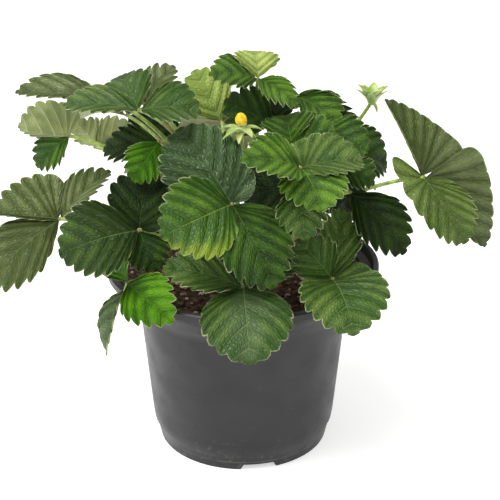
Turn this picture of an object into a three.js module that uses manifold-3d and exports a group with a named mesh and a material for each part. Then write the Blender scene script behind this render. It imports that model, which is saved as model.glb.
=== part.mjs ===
// A potted strawberry plant: a thin-walled nursery pot, its soil, the crown, trifoliate leaves on
// long petioles, one open flower with its petals gone and one young calyx.
// Millimetres, +Z up, the origin on the pot's axis at the surface that the pot stands on.
import * as THREE from 'three';
import { mergeVertices } from 'three/addons/utils/BufferGeometryUtils.js';
import Module from 'manifold-3d';

const wasm = await Module();
wasm.setup();

// Driving dimensions of the pot
const potRimRadius = 85;
const potHeight = 119.5;
const potFootRadius = 54.5;
const potFootWidth = 2.8;
const potStepRadius = 58.2;
const potStepHeight = 13;
const potWallRadiusLow = 59;
const potWallLow = 18.5;
const potWallRadiusHigh = 65.8;
const potWallHigh = 94;
const potFlareRadius = 68.5;
const potFlareHeight = 99;
const potShoulderRadius = 75;
const potShoulderHeight = 106.5;
const potBrimRadius = 82.4;
const potBrimHeight = 114;
const potLipHeight = 4.6;
const potLipRounding = 0.8;
const potWallThickness = 1.8;
const potFloorUnderside = 4.2;
const potFloorTop = 6;
const potSides = 32;
const footNotchCount = 3;
const footNotchWidth = 22;
const footNotchHeight = 3.8;
const footNotchSlope = 2;
const footNotchFirst = -80;
const drainHoleCount = 6;
const drainHoleRadius = 4.5;
const drainHoleCircle = 36;
const drainHoleSides = 8;
const potToeInset = 1.6;
const potToeDrop = 3;

// Driving dimensions of what stands in it
const clearance = 0.35;
const soilTop = 111;
const soilLump = 1.1;
const soilSides = 16;
const soilEdgeDrop = 0.6;
const soilRings = [0.84, 0.62, 0.4];
const soilWave = 0.3;
const rootDepth = 9;
const holeClearance = 0.75;
const holeSides = 5;
const crownRadius = 10;
const crownHeight = 12;
const crownSides = 12;
const crownFootRadius = 8;
const petioleRadius = 1.35;
const petioleSides = 5;
const petioleBends = 4;
const neckHeight = 4;
const petioluleRadius = 0.9;
const petioluleSides = 4;
const petioleRise = 0.5;
const petioleLean = 0.5;
const petioleShoulder = 0.92;
const knuckleRadius = 2.4;
const receptacleRadius = 3;
const flowerStalkRise = 50;
const bladeThickness = 0.8;
const toothDepth = 2.2;
const toothPeak = 0.56;
const toothDepthLimit = 0.4;
const baseWidth = 1.2;
const pleatHeight = 0.7;
const veinLean = 2.2;
const veinCurve = 1.7;

// The photograph is 500 px square. A leaf's place is written as seen there: px from the left, px
// from the top, and mm that the point lies in front of the pot's axis.
const photoMiddle = 250;
const photoLens = 1200;
const eye = new THREE.Vector3(0, -691, 419.5);
const eyePitch = THREE.MathUtils.degToRad(23.03);
const eyeYaw = THREE.MathUtils.degToRad(0.36);
const eyeAhead = new THREE.Vector3(
  Math.sin(eyeYaw) * Math.cos(eyePitch),
  Math.cos(eyeYaw) * Math.cos(eyePitch),
  -Math.sin(eyePitch),
);
const eyeRight = new THREE.Vector3(Math.cos(eyeYaw), -Math.sin(eyeYaw), 0);
const eyeUp = new THREE.Vector3().crossVectors(eyeRight, eyeAhead);

// The point that the photograph shows at a place, a given distance in front of the pot's axis
function seen(right, down, forward) {
  const ray = eyeAhead.clone();
  ray.addScaledVector(eyeRight, (right - photoMiddle) / photoLens);
  ray.addScaledVector(eyeUp, (photoMiddle - down) / photoLens);
  return eye.clone().addScaledVector(ray, (-forward - eye.y) / ray.y);
}

function at(x, y, z) {
  return new THREE.Vector3(x, y, z);
}

// Solids
function solidOf(geometry) {
  const plain = geometry.clone();
  plain.deleteAttribute('normal');
  plain.deleteAttribute('uv');
  const merged = mergeVertices(plain, 1e-4);
  const mesh = new wasm.Mesh({
    numProp: 3,
    vertProperties: new Float32Array(merged.attributes.position.array),
    triVerts: new Uint32Array(merged.index.array),
  });
  return new wasm.Manifold(mesh);
}

function geometryOf(solid) {
  const mesh = solid.getMesh();
  const geometry = new THREE.BufferGeometry();
  geometry.setAttribute('position', new THREE.BufferAttribute(mesh.vertProperties, mesh.numProp));
  geometry.setIndex(new THREE.BufferAttribute(mesh.triVerts, 1));
  geometry.computeVertexNormals();
  return geometry;
}

function joined(solids) {
  return solids.reduce((whole, solid) => whole.add(solid));
}

// The biggest piece of a solid: the slivers that a join can leave are dropped
function biggest(solid) {
  return solid.decompose().reduce((best, piece) => (piece.volume() > best.volume() ? piece : best));
}

// An upright cylinder from its middle, its radius and half its height
function uprightCylinder(x, y, z, radius, halfHeight, sides) {
  const geometry = new THREE.CylinderGeometry(radius, radius, halfHeight * 2, sides);
  return solidOf(geometry.rotateX(Math.PI / 2).translate(x, y, z));
}

// A rod with a bend at each of its points
function rod(points, radius, sides) {
  const section = new THREE.Shape();
  for (let side = 0; side < sides; side += 1) {
    const turn = (side / sides) * Math.PI * 2;
    const x = radius * Math.cos(turn);
    const y = radius * Math.sin(turn);
    if (side === 0) {
      section.moveTo(x, y);
    } else {
      section.lineTo(x, y);
    }
  }
  section.closePath();
  const path = new THREE.CatmullRomCurve3(points, false, 'centripetal');
  path.getUtoTmapping = (share) => share;
  const steps = points.length - 1;
  return solidOf(new THREE.ExtrudeGeometry(section, { steps, bevelEnabled: false, extrudePath: path }));
}

// Leaflets
// A leaflet is a toothed, pleated blade with its midrib from the hub to the tip. Its own numbers:
// width in mm, face (the way that its upper side looks, as right, forward and up), fold (degrees
// that both halves rise from the midrib), arch (mm that the midrib bows up), stalk (mm of bare
// midrib), belly (where along it is widest), wedge and blunt (how full it is below and above that),
// left and right (share of the half width), sweepLeft and sweepRight (how far a lobe reaches back),
// toothing (share of the usual depth of the teeth).
const leafletHabit = {
  fold: 10,
  arch: 5,
  stalk: 1,
  belly: 0.54,
  wedge: 0.75,
  blunt: 0.5,
  left: 1,
  right: 1,
  sweepLeft: 0,
  sweepRight: 0,
  teeth: 6,
  toothing: 1,
};
const bladeStart = 0.012;
const entireBase = 0.17;
const tipCrowding = 1.55;

// How far up the outline a share of the toothed stretch lies: the teeth crowd towards the tip
function outlineAt(share) {
  return entireBase + (1 - entireBase) * (1 - (1 - share) ** tipCrowding);
}

// The directions of a blade: along its midrib, out of its upper side and across it
function bladeFrame(hub, spec) {
  const along = spec.tip.clone().sub(hub);
  const reach = along.length();
  along.normalize();
  const upper = new THREE.Vector3(spec.face[0], -spec.face[1], spec.face[2]);
  upper.addScaledVector(along, -upper.dot(along)).normalize();
  const across = new THREE.Vector3().crossVectors(along, upper);
  return { along, upper, across, reach };
}

// The half width of the blade as a share of its widest, wedge-shaped below and blunt above
function swell(spec, outline) {
  const power = Math.log(0.5) / Math.log(spec.belly);
  const bulge = Math.max(0, Math.sin(Math.PI * outline ** power));
  return bulge ** (outline < spec.belly ? spec.wedge : spec.blunt);
}

// A point of the blade: outline runs from 0 at the base to 1 at the tip, half from -1 to 1 between
// the two margins, and ridge lifts it between two veins
function bladePoint(hub, spec, frame, outline, half, ridge) {
  const bladeLength = frame.reach - spec.stalk;
  const side = half < 0 ? spec.left : spec.right;
  const sweep = half < 0 ? spec.sweepLeft : spec.sweepRight;
  const halfWidth = Math.max(baseWidth / 2, (spec.width / 2) * side * swell(spec, outline));
  const rib = outline ** veinLean;
  const far = Math.abs(half);
  const out = far * (outline < 1 ? halfWidth : 0);
  const swept = sweep * out * (1 - outline) ** 2;
  const bend = 1 - (1 - far) ** veinCurve;
  const forward = spec.stalk + bladeLength * (rib + (outline - rib) * bend) - swept;
  const share = Math.max(0, (forward - spec.stalk) / bladeLength);
  const slope = THREE.MathUtils.degToRad(spec.fold);
  const bow = spec.arch * 4 * share * (1 - share);
  const rise = out * Math.sin(slope) + bow + ridge * pleatHeight * far;
  return hub.clone()
    .addScaledVector(frame.along, forward)
    .addScaledVector(frame.across, Math.sign(half) * out * Math.cos(slope))
    .addScaledVector(frame.upper, rise);
}

function leaflet(hub, spec) {
  const frame = bladeFrame(hub, spec);
  const step = 1 / (spec.teeth + 0.5);
  const margins = { left: [], right: [] };
  const triangles = [];
  const points = [];
  const put = (point) => points.push(point) - 1;

  const ribs = [put(bladePoint(hub, spec, frame, 0, 0, 0))];
  for (let tooth = 0; tooth < spec.teeth; tooth += 1) {
    ribs.push(put(bladePoint(hub, spec, frame, outlineAt(step * (tooth + toothPeak)), 0, 0)));
  }
  const apex = put(bladePoint(hub, spec, frame, 1, 0, 0));
  for (const [name, sign] of [['left', -1], ['right', 1]]) {
    const margin = margins[name];
    margin.push(put(bladePoint(hub, spec, frame, bladeStart, sign, 0)));
    for (let tooth = 0; tooth <= spec.teeth; tooth += 1) {
      const notch = outlineAt(step * tooth);
      const tip = outlineAt(step * (tooth + toothPeak));
      const halfWidth = (spec.width / 2) * swell(spec, notch);
      const cut = tooth === 0 ? 0 : Math.min(toothDepthLimit, (spec.toothing * toothDepth) / halfWidth);
      margin.push(put(bladePoint(hub, spec, frame, notch, sign * (1 - cut), 1)));
      if (tooth < spec.teeth) {
        margin.push(put(bladePoint(hub, spec, frame, tip, sign, 0)));
      }
    }
    const facing = (a, b, c) => triangles.push(sign < 0 ? [a, c, b] : [a, b, c]);
    facing(ribs[0], margin[0], margin[1]);
    for (let tooth = 0; tooth < spec.teeth; tooth += 1) {
      const before = margin[1 + tooth * 2];
      const tip = margin[2 + tooth * 2];
      const after = margin[3 + tooth * 2];
      facing(ribs[tooth], before, ribs[tooth + 1]);
      facing(ribs[tooth + 1], before, tip);
      facing(ribs[tooth + 1], tip, after);
    }
    facing(ribs[spec.teeth], margin[margin.length - 1], apex);
  }
  const rim = [...margins.right, apex, ...margins.left.reverse(), ribs[0]];
  return thickened(points, triangles, rim);
}

// Gives a surface its thickness: both faces are split into the same triangles
function thickened(points, triangles, rim) {
  const normals = points.map(() => new THREE.Vector3());
  for (const [a, b, c] of triangles) {
    const edge = points[b].clone().sub(points[a]);
    const face = edge.cross(points[c].clone().sub(points[a]));
    normals[a].add(face);
    normals[b].add(face);
    normals[c].add(face);
  }
  const count = points.length;
  const position = [];
  for (const shift of [0.5, -0.5]) {
    points.forEach((point, index) => {
      const normal = normals[index].clone().normalize();
      const moved = point.clone().addScaledVector(normal, shift * bladeThickness);
      position.push(moved.x, moved.y, moved.z);
    });
  }
  const index = [];
  for (const [a, b, c] of triangles) {
    index.push(a, b, c);
    index.push(a + count, c + count, b + count);
  }
  rim.forEach((from, order) => {
    const to = rim[(order + 1) % rim.length];
    index.push(to, from, from + count);
    index.push(to, from + count, to + count);
  });
  const geometry = new THREE.BufferGeometry();
  geometry.setAttribute('position', new THREE.Float32BufferAttribute(position, 3));
  geometry.setIndex(index);
  return solidOf(geometry);
}

// Colours
const leafGreen = 0x4b6b39;
const leafVivid = 0x4f8b1d;
const leafPale = 0x9cac5c;
const leafDark = 0x213d14;
const leafOlive = 0x656f4b;
const leafSheen = 0x5a7553;
const potGrey = 0x4d4b4c;
const soilBrown = 0x3a2a20;
const crownBrown = 0x6b4a32;
const sepalGreen = 0xb4c47e;
const coneYellow = 0xf2c811;

// Each leaf has its hub, its root (degrees round the pot's axis and mm from it) and its leaflets
const leafPlan = {
  leaf_rim_front: {
    colour: leafSheen,
    hub: seen(243, 287, 58),
    root: [-92, 30],
    leaflets: [
      { tip: seen(250, 365, 106), width: 53, face: [0, 0.7, 0.7], arch: 8, fold: 3, belly: 0.57,
        wedge: 0.45, teeth: 7, toothing: 0.6 },
      { tip: seen(162, 269, 58), width: 37, face: [0, 0.35, 0.9], arch: 4, fold: 8 },
      { tip: seen(290, 262, 30), width: 34, face: [0, 0.3, 0.9], arch: 4, fold: 8 },
    ],
  },
  leaf_rim_left: {
    colour: leafVivid,
    hub: seen(127, 283, 52),
    root: [-143, 30],
    leaflets: [
      { tip: seen(173, 323, 86), width: 35, face: [-0.2, 0.7, 0.7], arch: 4, fold: 14 },
      { tip: seen(107, 352, 54), width: 32, face: [-0.93, 0.3, 0.25], arch: 3, fold: 10, stalk: 4,
        belly: 0.6, blunt: 0.3, teeth: 5, toothing: 0.6 },
      { tip: seen(121, 243, 36), width: 34, face: [-0.8, 0.45, 0.35], arch: 3, fold: 12, teeth: 5 },
    ],
  },
  leaf_rim_right: {
    colour: leafSheen,
    hub: seen(333, 279, 60),
    root: [-48, 29],
    leaflets: [
      { tip: seen(354, 336, 96), width: 54, face: [0.15, 0.75, 0.65], arch: 6, fold: 10, belly: 0.55,
        wedge: 0.45,
        sweepLeft: 1.1, sweepRight: 0.6, teeth: 7 },
      { tip: seen(342, 208, 26), width: 28, face: [0.1, 0.85, 0.4], arch: 3, fold: 10, teeth: 5 },
      { tip: seen(299, 240, 50), width: 30, face: [-0.1, 0.8, 0.5], arch: 3, fold: 8, teeth: 5 },
    ],
  },
  leaf_centre: {
    colour: leafGreen,
    hub: seen(232, 204, 50),
    root: [-97, 19],
    leaflets: [
      { tip: seen(161, 237, 76), width: 50, face: [-0.1, 0.93, 0.4], arch: 4, fold: 8, belly: 0.55,
        wedge: 0.55,
        sweepLeft: 0.3, sweepRight: 0.3, teeth: 7 },
      { tip: seen(179, 128, 20), width: 57, face: [0.1, 0.8, 0.6], arch: 4, fold: 8, belly: 0.5,
        wedge: 0.55, right: 0.82, sweepRight: 0.9, teeth: 7 },
      { tip: seen(274, 289, 74), width: 46, face: [0.15, 0.85, 0.5], arch: 5, fold: 12, belly: 0.5,
        wedge: 0.55, right: 1.05, sweepRight: 1.1, teeth: 7 },
    ],
  },
  leaf_centre_right: {
    colour: leafGreen,
    hub: seen(301, 168, 42),
    root: [-58, 15],
    leaflets: [
      { tip: seen(240, 161, 52), width: 44, face: [0, 0.42, 0.9], arch: 4, fold: 20, belly: 0.46,
        left: 1.3, right: 0.78, wedge: 0.6 },
      { tip: seen(322, 212, 72), width: 42, face: [0.1, 0.45, 0.9], arch: 4, fold: 4, belly: 0.55,
        wedge: 0.5 },
      { tip: seen(364, 163, 36), width: 40, face: [0, 0.45, 0.9], arch: 4, fold: 12, belly: 0.46,
        wedge: 0.5, right: 0.8, sweepLeft: 0.9 },
    ],
  },
  leaf_hanging: {
    colour: leafSheen,
    hub: seen(297, 188, 46),
    root: [-72, 22],
    leaflets: [
      { tip: seen(305, 241, 68), width: 32, face: [0.05, 0.85, 0.5], arch: 4, fold: 12 },
      { tip: seen(243, 196, 24), width: 40, face: [0, 0.85, 0.45], arch: 3, fold: 6, teeth: 5 },
    ],
  },
  leaf_folded: {
    colour: leafGreen,
    hub: seen(292, 145, 12),
    root: [-28, 12],
    leaflets: [
      { tip: seen(286, 115, -8), width: 34, face: [-0.1, 0.75, 0.6], arch: 3, fold: 16, teeth: 5 },
      { tip: seen(338, 132, 4), width: 30, face: [0, 0.6, 0.8], arch: 3, fold: 14, teeth: 5 },
    ],
  },
  leaf_top: {
    colour: leafGreen,
    hub: seen(258, 79, -12),
    root: [60, 12],
    leaflets: [
      { tip: seen(209, 75, -2), width: 36, face: [-0.1, 0.45, 0.88], arch: 3, fold: 8, right: 0.85 },
      { tip: seen(298, 108, 6), width: 28, face: [0.1, 0.6, 0.8], arch: 4, fold: 14, left: 0.6 },
      { tip: seen(252, 51, -30), width: 30, face: [0.3, 0.9, 0.5], arch: 4, fold: 8, teeth: 5 },
    ],
  },
  leaf_top_dark: {
    colour: leafDark,
    hub: seen(274, 124, -5),
    root: [8, 22],
    leaflets: [
      { tip: seen(224, 101, -8), width: 33, face: [0, 0.95, 0.3], arch: 3, fold: 8, teeth: 5 },
      { tip: seen(277, 88, -28), width: 26, face: [0.1, 0.9, 0.4], arch: 2, fold: 6, teeth: 5 },
      { tip: seen(283, 160, -3), width: 26, face: [0, 0.95, 0.3], arch: 1, fold: 4, teeth: 5 },
    ],
  },
  leaf_top_pale: {
    colour: leafPale,
    hub: seen(222, 122, -42),
    root: [120, 17],
    leaflets: [
      { tip: seen(194, 70, -58), width: 36, face: [0, 0.9, 0.3], arch: 3, fold: 10, teeth: 5 },
      { tip: seen(250, 98, -78), width: 30, face: [0, 0.3, 0.9], arch: 4, fold: 10, teeth: 4 },
    ],
  },
  leaf_upper_right: {
    colour: leafDark,
    hub: seen(296, 96, -30),
    root: [28, 18],
    leaflets: [
      { tip: seen(356, 123, -24), width: 21, face: [0.1, 0.85, 0.5], arch: 2, fold: 6, belly: 0.5,
        wedge: 0.5, blunt: 0.4, left: 1, right: 0.2 },
      { tip: seen(337, 126, -12), width: 36, face: [0.1, 0.35, 0.95], arch: 3, fold: 8, right: 0.9 },
      { tip: seen(285, 114, -84), width: 30, face: [0, 0, 1], arch: 4, fold: 12, teeth: 4 },
    ],
  },
  leaf_right_inner: {
    colour: leafGreen,
    hub: seen(317, 136, -4),
    root: [-8, 16],
    leaflets: [
      { tip: seen(368, 152, 4), width: 36, face: [0, 0.6, 0.8], arch: 4, fold: 12 },
      { tip: seen(387, 166, -18), width: 38, face: [0.2, 0.6, 0.7], arch: 4, fold: 10, stalk: 14 },
    ],
  },
  leaf_right_small: {
    colour: leafVivid,
    hub: seen(342, 170, 24),
    root: [-22, 22],
    leaflets: [
      { tip: seen(374, 185, 30), width: 26, face: [0, 0.5, 0.8], arch: 3, fold: 10, teeth: 5 },
      { tip: seen(346, 215, 4), width: 28, face: [0, 0.9, 0.3], arch: 2, fold: 6, teeth: 5 },
    ],
  },
  leaf_far_right: {
    colour: leafOlive,
    hub: seen(424, 177, 8),
    root: [-5, 26],
    leaflets: [
      { tip: seen(385, 99, -6), width: 60, face: [0.15, 0.9, 0.3], arch: 2, fold: 4, belly: 0.1,
        left: 0.04, right: 0.95, wedge: 0.3, blunt: 0.6, sweepRight: 0.08, toothing: 0.25 },
      { tip: seen(485, 247, -8), width: 61, face: [0.05, 0.9, 0.3], arch: 3, fold: 4, belly: 0.15,
        wedge: 0.6, blunt: 0.55, left: 1.14, right: 0.3, sweepLeft: -0.04, toothing: 0.4 },
      { tip: seen(466, 243, 24), width: 40, face: [-0.1, 0.85, 0.5], arch: 5, fold: 6, belly: 0.55,
        wedge: 0.35, blunt: 0.45, left: 0.85, right: 0.8, sweepRight: 3.4, sweepLeft: -0.3, teeth: 7 },
    ],
  },
  leaf_right_dark: {
    colour: leafDark,
    hub: seen(350, 192, 26),
    root: [-34, 27],
    leaflets: [
      { tip: seen(405, 254, 44), width: 36, face: [0.1, 0.7, 0.7], arch: 4, fold: 8 },
    ],
  },
  leaf_upper_left: {
    colour: leafSheen,
    hub: seen(139, 110, 14),
    root: [-158, 14],
    leaflets: [
      { tip: seen(63, 106, 18), width: 44, face: [0, 0.12, 1], arch: 3, fold: 6 },
      { tip: seen(122, 75, -22), width: 33, face: [-0.2, 0.45, 0.85], arch: 3, fold: 8, teeth: 5 },
      { tip: seen(201, 114, 18), width: 39, face: [0, 0.4, 0.9], arch: 4, fold: 12 },
    ],
  },
  leaf_upper_left_back: {
    colour: leafSheen,
    hub: seen(144, 104, -22),
    root: [170, 12],
    leaflets: [
      { tip: seen(175, 66, -34), width: 24, face: [-0.4, 0.8, 0.4], arch: 3, fold: 12, teeth: 5 },
      { tip: seen(150, 96, -84), width: 32, face: [0, 0.2, 1], arch: 4, fold: 12, teeth: 4 },
    ],
  },
  leaf_left_vivid: {
    colour: leafVivid,
    hub: seen(159, 141, 20),
    root: [-168, 20],
    leaflets: [
      { tip: seen(133, 182, 32), width: 27, face: [0.1, 0.85, 0.5], arch: 3, fold: 8 },
      { tip: seen(104, 150, -4), width: 25, face: [-0.1, 0.75, 0.6], arch: 2, fold: 10, teeth: 5 },
    ],
  },
  leaf_far_upper_left: {
    colour: leafPale,
    hub: seen(70, 136, -14),
    root: [176, 24],
    leaflets: [
      { tip: seen(18, 127, -12), width: 42, face: [0, -0.9, 0.4], arch: -2, fold: 6, left: 1.2,
        right: 0.3, sweepLeft: 1.2 },
      { tip: seen(37, 167, -14), width: 24, face: [-0.2, 0.85, 0.5], arch: 3, fold: 8, teeth: 5 },
    ],
  },
  leaf_left_fan: {
    colour: leafOlive,
    hub: seen(95, 147, -25),
    root: [165, 18],
    leaflets: [
      { tip: seen(74, 122, -27), width: 26, face: [0, -0.9, 0.4], arch: 3, fold: 8, teeth: 5 },
      { tip: seen(133, 125, -19), width: 26, face: [0, -0.9, 0.4], arch: 3, fold: 8, teeth: 5 },
    ],
  },
  leaf_top_left: {
    colour: leafOlive,
    hub: seen(106, 98, -40),
    root: [150, 20],
    leaflets: [
      { tip: seen(15, 93, -36), width: 38, face: [0, 0.3, 0.95], arch: 2, fold: 8, left: 0.5, right: 1 },
      { tip: seen(92, 110, -92), width: 34, face: [0, 0, 1], arch: 4, fold: 10, teeth: 4 },
    ],
  },
  leaf_far_left: {
    colour: leafOlive,
    hub: seen(60, 219, 14),
    root: [-160, 28],
    leaflets: [
      { tip: seen(-10, 213, 16), width: 54, face: [-0.1, 0.75, 0.66], arch: 1, fold: 10, left: 0.1,
        belly: 0.33,
        wedge: 0.5, sweepRight: 0.3 },
      { tip: seen(111, 171, -4), width: 28, face: [-0.6, 0.6, 0.4], arch: 3, fold: 20 },
      { tip: seen(-16, 286, 34), width: 46, face: [-0.1, 0.6, 0.8], arch: 5, fold: 6, left: 1.1,
        right: 0.9 },
    ],
  },
  leaf_left: {
    colour: leafGreen,
    hub: seen(139, 230, 44),
    root: [-152, 21],
    leaflets: [
      { tip: seen(59, 255, 58), width: 50, face: [-0.1, 0.75, 0.66], arch: 5, fold: 8, belly: 0.55,
        wedge: 0.6,
        teeth: 7 },
      { tip: seen(146, 170, 14), width: 41, face: [0, 0.85, 0.45], arch: 3, fold: 8, wedge: 0.45,
        sweepLeft: 0.7, sweepRight: 0.7, teeth: 5 },
      { tip: seen(157, 271, 50), width: 27, face: [0, 0.85, 0.45], arch: 3, fold: 8, teeth: 5 },
    ],
  },
  leaf_back_left: {
    colour: leafGreen,
    hub: at(-75, 58, 196),
    root: [142, 28],
    leaflets: [
      { tip: at(-112, 78, 184), width: 40, face: [-0.1, -0.2, 1], arch: 5, wedge: 1.1, belly: 0.6,
        teeth: 4 },
      { tip: at(-62, 94, 182), width: 40, face: [0, -0.3, 1], arch: 5, wedge: 1.1, belly: 0.6, teeth: 4 },
      { tip: at(-42, 60, 172), width: 34, face: [0, 0.9, 0.4], arch: 2, fold: 6, teeth: 4 },
    ],
  },
  leaf_back_low_left: {
    colour: leafSheen,
    hub: at(-52, 78, 160),
    root: [124, 27],
    leaflets: [
      { tip: at(-72, 98, 128), width: 36, face: [-0.2, -0.7, 0.7], arch: 6 },
      { tip: at(-27, 104, 136), width: 34, face: [0.1, -0.6, 0.8], arch: 5, wedge: 1.1, belly: 0.6,
        teeth: 4 },
    ],
  },
  leaf_back_middle: {
    colour: leafGreen,
    hub: at(-8, 76, 186),
    root: [96, 26],
    leaflets: [
      { tip: at(-14, 96, 152), width: 48, face: [0, -0.8, 0.6], arch: 7 },
      { tip: at(-44, 82, 174), width: 38, face: [-0.2, -0.4, 0.9], arch: 5, wedge: 1.1, belly: 0.6,
        teeth: 4 },
      { tip: at(28, 86, 176), width: 38, face: [0.1, -0.4, 0.9], arch: 5, wedge: 1.1, belly: 0.6,
        teeth: 4 },
    ],
  },
  leaf_back_right: {
    colour: leafSheen,
    hub: at(50, 78, 154),
    root: [60, 28],
    leaflets: [
      { tip: at(60, 96, 122), width: 48, face: [0.1, -0.8, 0.6], arch: 7 },
      { tip: at(90, 74, 138), width: 38, face: [0.4, -0.3, 0.9], arch: 5, wedge: 1.1, belly: 0.6,
        teeth: 4 },
    ],
  },
  leaf_back_far_right: {
    colour: leafGreen,
    hub: at(84, 56, 134),
    root: [36, 30],
    leaflets: [
      { tip: at(99, 80, 104), width: 38, face: [0.7, -0.3, 0.6], arch: 6 },
      { tip: at(97, 48, 118), width: 28, face: [0.6, 0.1, 0.8], arch: 4, wedge: 1.1, belly: 0.6,
        teeth: 4 },
      { tip: at(78, 86, 112), width: 34, face: [0.3, -0.7, 0.6], arch: 4, wedge: 1.1, belly: 0.6,
        teeth: 4 },
    ],
  },
};

// The flower that has lost its petals and the young calyx. A dome's points are shares of its radius
// and its height, a sepal's measures are shares of its length and its half width.
const crownDome = [[1, 0], [0.92, 0.3], [0.62, 0.75], [0, 1]];
const coneDome = [[0, 0], [0.82, 0], [1, 0.22], [0.86, 0.55], [0.5, 0.88], [0, 1]];
const sepalFoot = 0.25;
const sepalBelly = 0.45;
const sepalBow = 0.1;
const sepalCup = 2;
const sepalStart = 1.6;
const flowerPlan = {
  base: seen(241, 128, 31),
  root: [-118, 13],
  bend: seen(246, 166, 18),
  coneRadius: 4,
  coneHeight: 7.4,
  coneSides: 10,
  ring: {
    count: 5,
    turn: 0.2,
    spread: 13,
    rise: -2,
    width: 5,
    narrowSpread: -2,
    narrowSlimming: 1.6,
    narrowStartDrop: 1.7,
    narrowTipDrop: 4,
  },
};
const calyxPlan = {
  base: seen(372, 101, -34),
  root: [14, 27],
  bend: seen(352, 136, -46),
  bractTip: at(3.4, -1.5, -7),
  bractWidth: 2.6,
  ring: {
    count: 5,
    turn: 0.1,
    spread: 10,
    rise: 9.5,
    width: 7,
    narrowSpread: 0.5,
    narrowSlimming: 2,
    narrowStartDrop: 1.4,
    narrowTipDrop: 1.5,
  },
};

// The pot
function latheOf(outline, sides) {
  const points = outline.map(([radius, z]) => new THREE.Vector2(radius, z));
  const geometry = new THREE.LatheGeometry(points, sides);
  return geometry.rotateX(Math.PI / 2);
}

function potSolid() {
  const lip = potHeight - potLipHeight;
  const outside = [
    [potFootRadius, 0],
    [potStepRadius - potToeInset, potStepHeight - potToeDrop],
    [potStepRadius, potStepHeight],
    [potWallRadiusLow, potWallLow],
    [potWallRadiusHigh, potWallHigh],
    [potFlareRadius, potFlareHeight],
    [potShoulderRadius, potShoulderHeight],
    [potBrimRadius, potBrimHeight],
  ];
  const inside = outside.slice(2).reverse().map(([r, z]) => [r - potWallThickness, z]);
  const outline = [
    [0, potFloorUnderside],
    [potFootRadius - potFootWidth, potFloorUnderside],
    [potFootRadius - potFootWidth, 0],
    ...outside,
    [potRimRadius, lip],
    [potRimRadius, potHeight - potLipRounding],
    [potRimRadius - potLipRounding, potHeight],
    [potBrimRadius - potLipRounding, potHeight],
    ...inside,
    [potFootRadius - potFootWidth, potFloorTop],
    [0, potFloorTop],
  ];
  let pot = solidOf(latheOf(outline, potSides));
  for (let notch = 0; notch < footNotchCount; notch += 1) {
    pot = pot.subtract(footNotch(footNotchFirst + (notch * 360) / footNotchCount));
  }
  for (let hole = 0; hole < drainHoleCount; hole += 1) {
    const turn = (hole / drainHoleCount) * Math.PI * 2;
    const x = drainHoleCircle * Math.cos(turn);
    const y = drainHoleCircle * Math.sin(turn);
    pot = pot.subtract(uprightCylinder(x, y, potFloorTop, drainHoleRadius, potFloorTop, drainHoleSides));
  }
  return pot;
}

function footNotch(degrees) {
  const top = footNotchWidth / 2 - footNotchSlope;
  const bottom = footNotchWidth / 2 + footNotchSlope / 2;
  const shape = new THREE.Shape();
  shape.moveTo(-bottom, -1);
  shape.lineTo(bottom, -1);
  shape.lineTo(top, footNotchHeight);
  shape.lineTo(-top, footNotchHeight);
  shape.closePath();
  const cut = new THREE.ExtrudeGeometry(shape, { depth: potFootRadius, bevelEnabled: false });
  cut.applyMatrix4(new THREE.Matrix4().makeBasis(at(0, 1, 0), at(0, 0, 1), at(1, 0, 0)));
  cut.translate(potFootRadius / 2, 0, 0);
  cut.rotateZ(THREE.MathUtils.degToRad(degrees));
  return solidOf(cut);
}

// Soil and crown
// The place of a root from its turn round the pot's axis and its distance from it
function rootPlace([degrees, distance]) {
  const turn = THREE.MathUtils.degToRad(degrees);
  return [distance * Math.cos(turn), distance * Math.sin(turn)];
}

function soilSolid(roots) {
  const inset = potWallThickness + clearance;
  const slant = (potBrimRadius - potShoulderRadius) / (potBrimHeight - potShoulderHeight);
  const edge = potShoulderRadius + (soilTop - potShoulderHeight) * slant - inset;
  const outline = [
    [0, potFloorTop + clearance],
    [potFootRadius - potFootWidth - clearance, potFloorTop + clearance],
    [potStepRadius - inset, potStepHeight],
    [potWallRadiusLow - inset, potWallLow],
    [potWallRadiusHigh - inset, potWallHigh],
    [potFlareRadius - inset - clearance, potFlareHeight],
    [potShoulderRadius - inset - clearance, potShoulderHeight],
    [edge - clearance, soilTop - soilEdgeDrop],
    ...soilRings.map((share) => [edge * share, soilTop]),
    [0, soilTop],
  ];
  const geometry = latheOf(outline, soilSides);
  const place = geometry.attributes.position;
  for (let index = 0; index < place.count; index += 1) {
    const x = place.getX(index) * soilWave;
    const y = place.getY(index) * soilWave;
    if (place.getZ(index) > soilTop - soilEdgeDrop / 2) {
      place.setZ(index, soilTop + soilLump * Math.sin(x + 1) * Math.cos(y + x / 3));
    }
  }
  const pitRadius = crownRadius + clearance;
  const pit = uprightCylinder(0, 0, soilTop, pitRadius, rootDepth, crownSides);
  let soil = solidOf(geometry).subtract(pit);
  for (const root of roots) {
    const [x, y] = rootPlace(root);
    const radius = petioleRadius + holeClearance;
    soil = soil.subtract(uprightCylinder(x, y, soilTop, radius, rootDepth + clearance, holeSides));
  }
  return soil;
}

function crownSolid() {
  const foot = soilTop - rootDepth + clearance;
  const dome = crownDome.map(([across, up]) => [crownRadius * across, soilTop + crownHeight * up]);
  const outline = [[0, foot], [crownFootRadius, foot], ...dome];
  return solidOf(latheOf(outline, crownSides));
}

// Stalks and leaves
// A stalk stands straight in its hole, then follows a curve to its end
function stalk(root, upward, inward, end) {
  const [x, y] = rootPlace(root);
  const neck = at(x, y, soilTop + neckHeight);
  const curve = new THREE.CubicBezierCurve3(neck, upward, inward, end);
  return rod([at(x, y, soilTop - rootDepth), ...curve.getPoints(petioleBends)], petioleRadius, petioleSides);
}

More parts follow.
